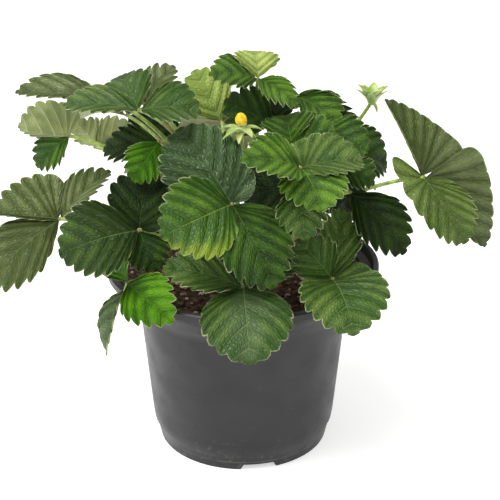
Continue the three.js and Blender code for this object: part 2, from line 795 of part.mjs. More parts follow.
function leafSolid({ hub, root, leaflets }) {
  const [x, y] = rootPlace(root);
  const rise = hub.z - soilTop;
  const upward = at(x, y, soilTop + neckHeight + rise * petioleRise);
  const inward = at(x, y, soilTop + rise * petioleShoulder);
  inward.x += (hub.x - x) * petioleLean;
  inward.y += (hub.y - y) * petioleLean;
  const knuckle = new THREE.OctahedronGeometry(knuckleRadius, 0);
  const solids = [stalk(root, upward, inward, hub), solidOf(knuckle.translate(hub.x, hub.y, hub.z))];
  for (const given of leaflets) {
    const spec = { ...leafletHabit, ...given };
    solids.push(leaflet(hub, spec));
    if (spec.stalk > knuckleRadius) {
      solids.push(petiolule(hub, spec));
    }
  }
  return biggest(joined(solids));
}

// The short stalk of a leaflet that stands off from the hub
function petiolule(hub, spec) {
  const length = spec.stalk + knuckleRadius;
  const geometry = new THREE.CylinderGeometry(petioluleRadius, petioluleRadius, length, petioluleSides);
  geometry.translate(0, length / 2, 0);
  const turn = new THREE.Quaternion().setFromUnitVectors(at(0, 1, 0), bladeFrame(hub, spec).along);
  geometry.applyQuaternion(turn);
  return solidOf(geometry.translate(hub.x, hub.y, hub.z));
}

// Flower and calyx
// A narrow pointed blade from its base to its tip
function sepal(base, tip, upper, width) {
  const along = tip.clone().sub(base);
  const across = new THREE.Vector3().crossVectors(along, upper).setLength(width / 2);
  const bow = upper.clone().setLength(along.length() * sepalBow);
  const point = (share, side, lift) => base.clone()
    .addScaledVector(along, share)
    .addScaledVector(across, side)
    .addScaledVector(bow, lift);
  const points = [
    point(0, -sepalFoot, 0),
    point(0, sepalFoot, 0),
    point(sepalBelly, -1, sepalCup),
    point(sepalBelly, 0, 1),
    point(sepalBelly, 1, sepalCup),
    point(1, 0, 0),
  ];
  const triangles = [[0, 1, 3], [0, 3, 2], [1, 4, 3], [2, 3, 5], [3, 4, 5]];
  return thickened(points, triangles, [0, 1, 4, 5, 2]);
}

// A ring of broad sepals with narrow ones between them, lower down
function sepalRing(base, ring) {
  const solids = [];
  for (let order = 0; order < ring.count * 2; order += 1) {
    const turn = (order / ring.count) * Math.PI + ring.turn;
    const narrow = order % 2;
    const outward = at(Math.cos(turn), Math.sin(turn), 0);
    const start = base.clone().addScaledVector(outward, sepalStart);
    const tip = base.clone().addScaledVector(outward, ring.spread + narrow * ring.narrowSpread);
    start.z -= narrow * ring.narrowStartDrop;
    tip.z += ring.rise - narrow * ring.narrowTipDrop;
    const upper = outward.clone().multiplyScalar(-Math.max(0, ring.rise) / ring.spread).setZ(1);
    solids.push(sepal(start, tip, upper, ring.width - narrow * ring.narrowSlimming));
  }
  return solids;
}

function flowerStalkSolid({ base, root, bend, ring }) {
  const [x, y] = rootPlace(root);
  const receptacle = new THREE.SphereGeometry(receptacleRadius, 6, 4).rotateX(Math.PI / 2);
  receptacle.translate(base.x, base.y, base.z - receptacleRadius / 2);
  const end = base.clone().setZ(base.z - receptacleRadius / 2);
  const solids = [stalk(root, at(x, y, soilTop + flowerStalkRise), bend, end), solidOf(receptacle)];
  return biggest(joined([...solids, ...sepalRing(base, ring)]));
}

function flowerConeSolid({ base, coneRadius, coneHeight, coneSides }) {
  const outline = coneDome.map(([across, up]) => [coneRadius * across, coneHeight * up]);
  const lift = receptacleRadius / 2 + clearance;
  return solidOf(latheOf(outline, coneSides).translate(base.x, base.y, base.z + lift));
}

function calyxSolid({ base, root, bend, ring, bractTip, bractWidth }) {
  const [x, y] = rootPlace(root);
  const cup = new THREE.SphereGeometry(receptacleRadius, 6, 4).rotateX(Math.PI / 2);
  cup.translate(base.x, base.y, base.z);
  const solids = [stalk(root, at(x, y, soilTop + flowerStalkRise), bend, base), solidOf(cup)];
  solids.push(sepal(base, base.clone().add(bractTip), at(1, -1, 0.5), bractWidth));
  return biggest(joined([...solids, ...sepalRing(base, ring)]));
}

// The plant
const plant = new THREE.Group();

function add(name, solid, color, roughness) {
  const material = new THREE.MeshStandardMaterial({ color, roughness, metalness: 0 });
  const mesh = new THREE.Mesh(geometryOf(solid), material);
  mesh.name = name;
  plant.add(mesh);
}

const leaves = Object.entries(leafPlan);
const roots = [flowerPlan.root, calyxPlan.root, ...leaves.map(([, plan]) => plan.root)];

add('pot', potSolid(), potGrey, 0.5);
add('soil', soilSolid(roots), soilBrown, 0.95);
add('crown', crownSolid(), crownBrown, 0.85);
add('flower_stalk', flowerStalkSolid(flowerPlan), sepalGreen, 0.6);
add('flower_cone', flowerConeSolid(flowerPlan), coneYellow, 0.7);
add('calyx', calyxSolid(calyxPlan), sepalGreen, 0.6);
for (const [name, plan] of leaves) {
  add(name, leafSolid(plan), plan.colour, 0.55);
}

export default plant;
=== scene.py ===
# Dresses the potted strawberry plant: fine toothed leaves on hairy petioles, the flower that has
# lost its petals, the young calyx, the crown, the soil with its crumbs and the nursery pot.
# Shapes are worked out in millimetres, as in the part's source, and written to meshes in metres.
import math
import random

import bmesh
import bpy
from mathutils import Matrix, Vector, noise


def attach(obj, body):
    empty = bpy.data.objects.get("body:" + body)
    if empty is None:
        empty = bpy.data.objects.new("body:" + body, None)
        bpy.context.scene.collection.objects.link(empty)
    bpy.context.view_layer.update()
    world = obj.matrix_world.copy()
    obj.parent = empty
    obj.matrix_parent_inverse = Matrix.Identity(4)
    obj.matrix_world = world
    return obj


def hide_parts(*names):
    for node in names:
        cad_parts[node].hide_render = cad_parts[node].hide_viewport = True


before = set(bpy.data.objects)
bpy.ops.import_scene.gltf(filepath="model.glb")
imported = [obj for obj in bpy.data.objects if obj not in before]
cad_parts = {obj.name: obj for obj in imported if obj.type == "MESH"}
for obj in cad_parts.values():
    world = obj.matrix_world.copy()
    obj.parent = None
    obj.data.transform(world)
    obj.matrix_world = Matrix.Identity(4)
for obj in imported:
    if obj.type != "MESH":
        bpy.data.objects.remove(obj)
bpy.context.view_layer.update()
print("frame loaded:", len(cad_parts), "nodes")

toMetres = Matrix.Scale(0.001, 4)

# Camera

photoView = {
    "eye": (0, -691, 419.5),  # mm
    "pitchDown": 23.03,       # degrees
    "yawRight": 0.36,         # degrees
    "focal": 1200,            # px, in a frame of 500 px
    "frame": 500,             # px
    "sensor": 36,             # mm
}

pitch = math.radians(photoView["pitchDown"])
yaw = math.radians(photoView["yawRight"])
eye = Vector(photoView["eye"])
eyeAhead = Vector((math.sin(yaw) * math.cos(pitch), math.cos(yaw) * math.cos(pitch), -math.sin(pitch)))
eyeRight = Vector((math.cos(yaw), -math.sin(yaw), 0))
eyeUp = eyeRight.cross(eyeAhead)


def makeCamera():
    data = bpy.data.cameras.new("photoCamera")
    data.sensor_width = photoView["sensor"]
    data.lens = photoView["focal"] / photoView["frame"] * photoView["sensor"]
    data.clip_start = 0.05
    data.clip_end = 20
    camera = bpy.data.objects.new("photoCamera", data)
    camera.location = eye * 0.001
    camera.rotation_euler = (math.radians(90) - pitch, 0, -yaw)
    bpy.context.scene.collection.objects.link(camera)
    bpy.context.scene.camera = camera


# The point that the photograph shows at a place, so many mm in front of the pot's axis
def seenAt(right, down, forward):
    middle = photoView["frame"] / 2
    ray = eyeAhead + eyeRight * ((right - middle) / photoView["focal"])
    ray += eyeUp * ((middle - down) / photoView["focal"])
    return eye + ray * ((-forward - eye.y) / ray.y)


makeCamera()
print("camera set")

# Material helpers


def paint(code):  # a colour as it shows on screen, made linear
    parts = [int(code[at:at + 2], 16) / 255 for at in (1, 3, 5)]
    return tuple(p / 12.92 if p <= 0.04045 else ((p + 0.055) / 1.055) ** 2.4 for p in parts) + (1,)


def addNode(tree, kind, inputs=None, **settings):
    made = tree.nodes.new(kind)
    for name, value in settings.items():
        setattr(made, name, value)
    for name, value in (inputs or {}).items():
        if isinstance(value, bpy.types.NodeSocket):
            tree.links.new(value, made.inputs[name])
        else:
            made.inputs[name].default_value = value
    return made


def mathOf(tree, operation, first, second=0.0):
    return addNode(tree, "ShaderNodeMath", {0: first, 1: second}, operation=operation).outputs[0]


def rangeOf(tree, value, low, high, toLow=0.0, toHigh=1.0):
    names = {"Value": value, "From Min": low, "From Max": high, "To Min": toLow, "To Max": toHigh}
    made = addNode(tree, "ShaderNodeMapRange", names, interpolation_type="SMOOTHSTEP")
    return made.outputs["Result"]


def mixOf(tree, factor, first, second, blend="MIX"):
    made = addNode(tree, "ShaderNodeMix", {0: factor, 6: first, 7: second}, data_type="RGBA")
    made.blend_type = blend
    return made.outputs[2]


def noiseOf(tree, scale, detail=3.0, rough=0.5, stretch=None):
    place = addNode(tree, "ShaderNodeTexCoord").outputs["Object"]
    if stretch:
        place = addNode(tree, "ShaderNodeMapping", {"Vector": place, "Scale": stretch}).outputs[0]
    names = {"Vector": place, "Scale": scale, "Detail": detail, "Roughness": rough}
    return addNode(tree, "ShaderNodeTexNoise", names).outputs["Fac"]


def cellsOf(tree, scale, feature="F1"):
    place = addNode(tree, "ShaderNodeTexCoord").outputs["Object"]
    made = addNode(tree, "ShaderNodeTexVoronoi", {"Vector": place, "Scale": scale}, feature=feature)
    return made.outputs["Distance"]


def newMaterial(name, roughness, specular=0.5, sheen=0.0):
    made = bpy.data.materials.new(name)
    made.use_nodes = True
    tree = made.node_tree
    shader = tree.nodes["Principled BSDF"]
    shader.inputs["Roughness"].default_value = roughness
    shader.inputs["Specular IOR Level"].default_value = specular
    shader.inputs["Sheen Weight"].default_value = sheen
    return made, tree, shader


def bumpInto(tree, shader, height, strength, distance):
    names = {"Height": height, "Strength": strength, "Distance": distance}
    tree.links.new(addNode(tree, "ShaderNodeBump", names).outputs[0], shader.inputs["Normal"])


# Mesh helpers


def newPiece(name, bm, materials, sharpAngle=None):
    bm.transform(toMetres)
    mesh = bpy.data.meshes.new(name)
    bm.to_mesh(mesh)
    bm.free()
    for material in materials:
        mesh.materials.append(material)
    mesh.shade_smooth()
    if sharpAngle:
        mesh.set_sharp_from_angle(angle=math.radians(sharpAngle))
    piece = bpy.data.objects.new(name, mesh)
    bpy.context.scene.collection.objects.link(piece)
    return piece


# A body turned round the Z axis from its outline, given as (radius, height)
def turnOutline(outline, sides):
    bm = bmesh.new()
    verts = [bm.verts.new((r, 0, z)) for r, z in outline]
    edges = [bm.edges.new(pair) for pair in zip(verts, verts[1:])]
    bmesh.ops.spin(bm, geom=verts + edges, cent=(0, 0, 0), axis=(0, 0, 1), angle=math.tau, steps=sides,
                   use_merge=True)
    bmesh.ops.remove_doubles(bm, verts=bm.verts, dist=0.001)
    bmesh.ops.recalc_face_normals(bm, faces=bm.faces)
    return bm


def seat(piece, slot, *nodes):  # rides on the one body and stands for the CAD nodes
    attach(piece, "root")
    if nodes:
        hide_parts(*nodes)


# A tapering rod along points: a ring of edges, extruded from point to point
def sweepRod(bm, points, radii, sides, material, close=True):
    directions = []
    for order, point in enumerate(points):
        before = points[max(order - 1, 0)]
        after = points[min(order + 1, len(points) - 1)]
        directions.append((after - before).normalized())
    turn = Vector((0, 0, 1)).rotation_difference(directions[0]).to_matrix()
    start = Matrix.Translation(points[0]) @ turn.to_4x4() @ Matrix.Scale(radii[0], 4)
    ring = bmesh.ops.create_circle(bm, segments=sides, radius=1, matrix=start)["verts"]
    edges = list({edge for vert in ring for edge in vert.link_edges})
    firstEdges = edges
    place = start
    for order in range(1, len(points)):
        turn = directions[order - 1].rotation_difference(directions[order]).to_matrix() @ turn
        target = Matrix.Translation(points[order]) @ turn.to_4x4() @ Matrix.Scale(radii[order], 4)
        made = bmesh.ops.extrude_edge_only(bm, edges=edges)["geom"]
        ring = [part for part in made if isinstance(part, bmesh.types.BMVert)]
        edges = [part for part in made if isinstance(part, bmesh.types.BMEdge)]
        for face in (part for part in made if isinstance(part, bmesh.types.BMFace)):
            face.material_index = material
        bmesh.ops.transform(bm, matrix=target @ place.inverted(), verts=ring)
        place = target
    if close:
        for rim in (firstEdges, edges):
            for face in bmesh.ops.contextual_create(bm, geom=rim)["faces"]:
                face.material_index = material
    return directions


def addHair(bm, root, direction, length, radius, material):
    turn = Vector((0, 0, 1)).rotation_difference(direction).to_matrix().to_4x4()
    place = Matrix.Translation(root + direction * length / 2) @ turn
    made = bmesh.ops.create_cone(bm, cap_ends=False, segments=3, radius1=radius, radius2=0,
                                 depth=length, matrix=place)
    for face in {face for vert in made["verts"] for face in vert.link_faces}:
        face.material_index = material


# Leaf finishes

leafFinishes = {  # shaded, lit and vein colours of a blade's upper side
    "green": {"deep": "#2a4a08", "light": "#567c1e", "vein": "#7c9c44", "rough": 0.42, "shine": 0.3},
    "lively": {"deep": "#2e5208", "light": "#658c22", "vein": "#8cab48", "rough": 0.42, "shine": 0.32},
    "ripe": {"deep": "#2e5208", "light": "#658c22", "vein": "#8cab48", "rough": 0.42, "shine": 0.32,
             "ripeness": 0.65},
    "sheen": {"deep": "#30500f", "light": "#627a34", "vein": "#86a05a", "rough": 0.38, "shine": 0.35,
              "veined": 0.3},
    # This finish adds a painted sheen: a pale grey-green patch towards the tip of the blade
    "sheenPatch": {"deep": "#2c4a0e", "light": "#5a7230", "vein": "#869f60", "rough": 0.4, "shine": 0.32,
              "veined": 0.25, "paintedSheen": 0.18},
    # A deeper green, in part the leaflets' own colour and in part painted shade
    "mossShade": {"deep": "#223806", "light": "#48641a", "vein": "#6a8a3c", "rough": 0.44, "shine": 0.28},
    # A darker copy of the olive: painted shade
    "oliveShade": {"deep": "#3c4a1a", "light": "#5e6a3a", "vein": "#7c885a", "rough": 0.46, "shine": 0.28},
    # Blue-grey green that paints in the blue-grey sheen of a glossy leaflet
    "blueSheen": {"deep": "#2a4418", "light": "#526c40", "vein": "#70885e", "rough": 0.36, "shine": 0.4},
    "vivid": {"deep": "#2e5a00", "light": "#568a06", "vein": "#74a41c", "rough": 0.46, "shine": 0.2},
    # Pale yellow-green: painted light shining through backlit leaflets
    "pale": {"deep": "#7f9640", "light": "#b4c468", "vein": "#c6d68a", "rough": 0.5, "shine": 0.3},
    "shade": {"deep": "#1c3604", "light": "#3c5c12", "vein": "#587830", "rough": 0.46, "shine": 0.22},
    # The darkest green: painted shade for leaflets deep inside the plant
    "dark": {"deep": "#122402", "light": "#263e06", "vein": "#3c5618", "rough": 0.48, "shine": 0.18},
    # Grey olive that paints in the grey sheen of the far leaves
    "ashSheen": {"deep": "#4c5a28", "light": "#7c8858", "vein": "#98a074", "rough": 0.44, "shine": 0.35},
    "olive": {"deep": "#445a1a", "light": "#6e823c", "vein": "#8c9c5e", "rough": 0.44, "shine": 0.32},
}
leafWear = {
    "margin": "#b2bd88",
    "ripe": "#86961a",
    # colour of the painted sheen patch
    "paintedSheen": "#8c9c78",
    "underDeep": "#6c7a40",
    "underLight": "#a0a568",
    "underVein": "#bcc088",
    "petioleDeep": "#6f8a2c",
    "petioleLight": "#a9bd5c",
    "knuckle": "#6c7c38",
    "knuckleFlush": "#8a7650",
    "petioleFlush": "#a98a5c",
    "hair": "#dfe2c8",
    "mapScale": 10,    # teeth to one unit of the leaf map
    "wholeTeeth": 10,  # added to the place along the row, which keeps it above 0
}


# The leaf map holds the place along the row of teeth and the place between the two margins
def leafMap(tree):
    place = addNode(tree, "ShaderNodeUVMap", uv_map="leafMap").outputs[0]
    parts = addNode(tree, "ShaderNodeSeparateXYZ", {0: place})
    row = mathOf(tree, "MULTIPLY", parts.outputs["X"], leafWear["mapScale"])
    fromMidrib = mathOf(tree, "SUBTRACT", mathOf(tree, "MULTIPLY", parts.outputs["Y"], 2.0), 1.0)
    across = mathOf(tree, "ABSOLUTE", fromMidrib)
    return row, across, parts.outputs["Y"]


# Small raised cells between the veins, longer along them than across
def cellMap(tree, row, across):
    place = addNode(tree, "ShaderNodeCombineXYZ", {0: mathOf(tree, "MULTIPLY", row, 4.5),
                                                   1: mathOf(tree, "MULTIPLY", across, 7)})
    made = addNode(tree, "ShaderNodeTexVoronoi", {"Vector": place.outputs[0], "Scale": 1},
                   voronoi_dimensions="2D", feature="DISTANCE_TO_EDGE")
    return rangeOf(tree, made.outputs["Distance"], 0.0, 0.3, 0.0, 1.0)


def veinMasks(tree, row, across):
    shifted = mathOf(tree, "ADD", row, leafWear["wholeTeeth"] - blade["toothPeak"])
    side = mathOf(tree, "PINGPONG", shifted, 0.5)
    width = rangeOf(tree, across, 0.0, 1.0, 0.09, 0.03)
    fade = mathOf(tree, "DIVIDE", side, width)
    sideVein = rangeOf(tree, fade, 0.2, 1.0, 1.0, 0.0)
    midrib = rangeOf(tree, across, 0.008, 0.03, 1.0, 0.0)
    return sideVein, midrib, side


def upperMaterial(name, finish):
    made, tree, shader = newMaterial(name, finish["rough"], specular=finish["shine"])
    row, across, half = leafMap(tree)
    sideVein, midrib, side = veinMasks(tree, row, across)
    veins = mathOf(tree, "MAXIMUM", sideVein, midrib)
    cells = cellMap(tree, row, across)
    patches = noiseOf(tree, 55, 3)
    tone = addNode(tree, "ShaderNodeAttribute", attribute_name="leafTone").outputs["Fac"]
    blend = mathOf(tree, "ADD", rangeOf(tree, patches, 0.3, 0.7, 0.0, 0.75), tone)
    # Painted shade in the grooves along the side veins and painted light on the ridges between them
    grooveShadeRidgeLight = rangeOf(tree, side, 0.0, 0.5, -0.35, 0.25)
    blend = mathOf(tree, "ADD", blend, grooveShadeRidgeLight)
    # Painted shade in the creases between the small raised cells, a little painted light on their tops
    blend = mathOf(tree, "ADD", blend, rangeOf(tree, cells, 0.0, 1.0, -0.16, 0.06))
    # Darker towards the midrib, where the folded blade lies lowest: painted shade
    blend = mathOf(tree, "ADD", blend, rangeOf(tree, across, 0.0, 0.5, -0.3, 0.05))
    blend.node.use_clamp = True
    colour = mixOf(tree, blend, paint(finish["deep"]), paint(finish["light"]))
    drawn = mathOf(tree, "MULTIPLY", sideVein, finish.get("veined", 0.12))
    drawn = mathOf(tree, "MAXIMUM", drawn, mathOf(tree, "MULTIPLY", midrib, 0.45))
    colour = mixOf(tree, drawn, colour, paint(finish["vein"]))
    worn = rangeOf(tree, noiseOf(tree, 140), 0.36, 0.6, 0.0, 0.7)
    edge = mathOf(tree, "MULTIPLY", rangeOf(tree, across, 0.97, 1.0), worn)
    colour = mixOf(tree, edge, colour, paint(leafWear["margin"]))
    # Painted sheen: a pale grey-green patch along the middle of the blade towards its tip
    if "paintedSheen" in finish:
        paintedSheen = mathOf(tree, "MULTIPLY", rangeOf(tree, across, 0.8, 0.2), rangeOf(tree, row, 2.0, 4.5))
        paintedSheen = mathOf(tree, "MULTIPLY", paintedSheen, rangeOf(tree, patches, 0.3, 0.6, 0.5, 1.0))
        paintedSheen = mathOf(tree, "MULTIPLY", paintedSheen, finish["paintedSheen"])
        colour = mixOf(tree, paintedSheen, colour, paint(leafWear["paintedSheen"]))
    if "ripeness" in finish:
        ripe = mathOf(tree, "MULTIPLY", rangeOf(tree, half, 0.22, 0.0), rangeOf(tree, row, 0.5, 3.0))
        ripe = mathOf(tree, "MULTIPLY", ripe, rangeOf(tree, patches, 0.35, 0.6, 0.4, finish["ripeness"]))
        colour = mixOf(tree, ripe, colour, paint(leafWear["ripe"]))
    tree.links.new(colour, shader.inputs["Base Color"])
    pleat = mathOf(tree, "ADD", mathOf(tree, "MULTIPLY", cells, 0.6), mathOf(tree, "MULTIPLY", side, 3.2))
    height = mathOf(tree, "SUBTRACT", pleat, mathOf(tree, "MULTIPLY", veins, 1.4))
    bumpInto(tree, shader, height, 0.8, 0.0009)
    return made


def underMaterial():
    made, tree, shader = newMaterial("leafUnderside", 0.62, specular=0.4, sheen=0.3)
    row, across = leafMap(tree)[:2]
    sideVein, midrib = veinMasks(tree, row, across)[:2]
    veins = mathOf(tree, "MAXIMUM", sideVein, midrib)
    tone = addNode(tree, "ShaderNodeAttribute", attribute_name="leafTone").outputs["Fac"]
    blend = mathOf(tree, "ADD", rangeOf(tree, noiseOf(tree, 60, 3), 0.3, 0.7), tone)
    blend.node.use_clamp = True
    colour = mixOf(tree, blend, paint(leafWear["underDeep"]), paint(leafWear["underLight"]))
    colour = mixOf(tree, mathOf(tree, "MULTIPLY", veins, 0.5), colour, paint(leafWear["underVein"]))
    tree.links.new(colour, shader.inputs["Base Color"])
    net = rangeOf(tree, cellsOf(tree, 620, "DISTANCE_TO_EDGE"), 0.0, 0.12, 1.0, 0.0)
    height = mathOf(tree, "ADD", net, mathOf(tree, "MULTIPLY", veins, 2.0))
    bumpInto(tree, shader, height, 0.5, 0.0005)
    return made


def petioleMaterial():
    made, tree, shader = newMaterial("petioleSkin", 0.42, specular=0.5, sheen=0.2)
    streaks = noiseOf(tree, 90, 3, 0.6, (3, 3, 0.4))
    colour = mixOf(tree, rangeOf(tree, streaks, 0.3, 0.7), paint(leafWear["petioleDeep"]),
                   paint(leafWear["petioleLight"]))
    flush = rangeOf(tree, noiseOf(tree, 30, 2), 0.58, 0.72, 0.0, 0.45)
    colour = mixOf(tree, flush, colour, paint(leafWear["petioleFlush"]))
    tree.links.new(colour, shader.inputs["Base Color"])
    bumpInto(tree, shader, noiseOf(tree, 900, 2, 0.6, (1, 1, 0.2)), 0.25, 0.0003)
    return made


def knuckleMaterial():
    made, tree, shader = newMaterial("knuckleSkin", 0.5, specular=0.3)
    colour = mixOf(tree, rangeOf(tree, noiseOf(tree, 80, 3), 0.4, 0.65), paint(leafWear["knuckle"]),
                   paint(leafWear["knuckleFlush"]))
    tree.links.new(colour, shader.inputs["Base Color"])
    bumpInto(tree, shader, noiseOf(tree, 900, 2), 0.4, 0.0003)
    return made


def hairMaterial():
    made, tree, shader = newMaterial("plantHair", 0.5, specular=0.6, sheen=0.4)
    colour = mixOf(tree, noiseOf(tree, 400, 2), paint(leafWear["hair"]), paint(leafWear["margin"]))
    tree.links.new(colour, shader.inputs["Base Color"])
    return made


# Leaves

blade = {
    "entireBase": 0.17,      # the stretch below the first tooth
    "tipCrowding": 1.55,
    "toothPeak": 0.56,
    "toothDepth": 2.4,       # mm
    "toothDepthLimit": 0.4,
    "toothRise": 0.5,
    "toothFall": 0.6,
    "baseWidth": 1.2,        # mm
    "veinLean": 5.0,
    "footCurve": 1.25,
    "archFrom": 0.15,
    "archOver": 0.5,
    "archCurve": 0.18,
    "pleatHeight": 1.5,      # mm
    "pleatCurve": 0.8,
    "fullFrom": 6,           # mm from the midrib where pillow, waves and quilting are at their full height
    "pillow": 0.35,          # mm that the blade swells between midrib and margin
    "waviness": 0.8,         # mm
    "waveScale": (0.45, 1.4),
    "quilting": 0.3,         # mm
    "quiltScale": (2.6, 7),
    "thickness": 0.42,       # mm
    "columnsPerTooth": 8,
    "baseColumns": 6,
    "rowsPerHalf": 8,
    "fringeLength": 0.75,    # mm
    "fringeRadius": 0.04,    # mm
    "fringeStep": 2,         # columns from one hair to the next
    "fringeForward": (0.35, 1.0),
    "fringeLift": (-0.3, 0.3),
    "fringeShare": (0.7, 1.15),
    "toneSpread": 0.28,
    "seedStep": (7.3, 2.1),  # from leaf to leaf and from leaflet to leaflet
    "tiny": 0.0001,
}
leafletHabit = {
    "fold": 10, "arch": 5, "stalk": 1, "belly": 0.54, "wedge": 0.75, "blunt": 0.5, "left": 1,
    "right": 1, "sweepLeft": 0, "sweepRight": 0, "teeth": 6, "toothing": 1, "finish": None,
}
petiole = {
    "soilTop": 111,          # mm
    "rootDepth": 9,          # mm
    "neck": 4,               # mm
    "rise": 0.5,
    "lean": 0.5,
    "shoulder": 0.92,
    "radiusLow": 1.55,       # mm
    "radiusHigh": 1.15,      # mm
    "steps": 20,
    "sides": 10,
    "knuckle": 1.25,         # mm
    "hairLength": 1.2,       # mm
    "hairRadius": 0.055,     # mm
    "hairsPerMm": 1.6,
    "hairSink": 0.9,         # share of the stalk's radius
    "hairLean": (-0.1, 0.6),
    "hairShare": (0.7, 1.2),
    "branchSink": 2,         # mm that a leaflet's own stalk runs into its blade
    "branchRadii": (0.95, 0.85),  # mm
    "branchSides": 8,
}


# The width is in mm, and the face is the way that the upper side looks, as right, forward and up
def leaflet(tip, width, face, **habit):
    return {**leafletHabit, "tip": tip, "width": width, "face": face, **habit}


# The root is the place in the soil, as degrees round the pot's axis and mm from it
def leafOf(finish, hub, root, *leaflets):
    return {"finish": finish, "hub": hub, "root": root, "leaflets": leaflets}


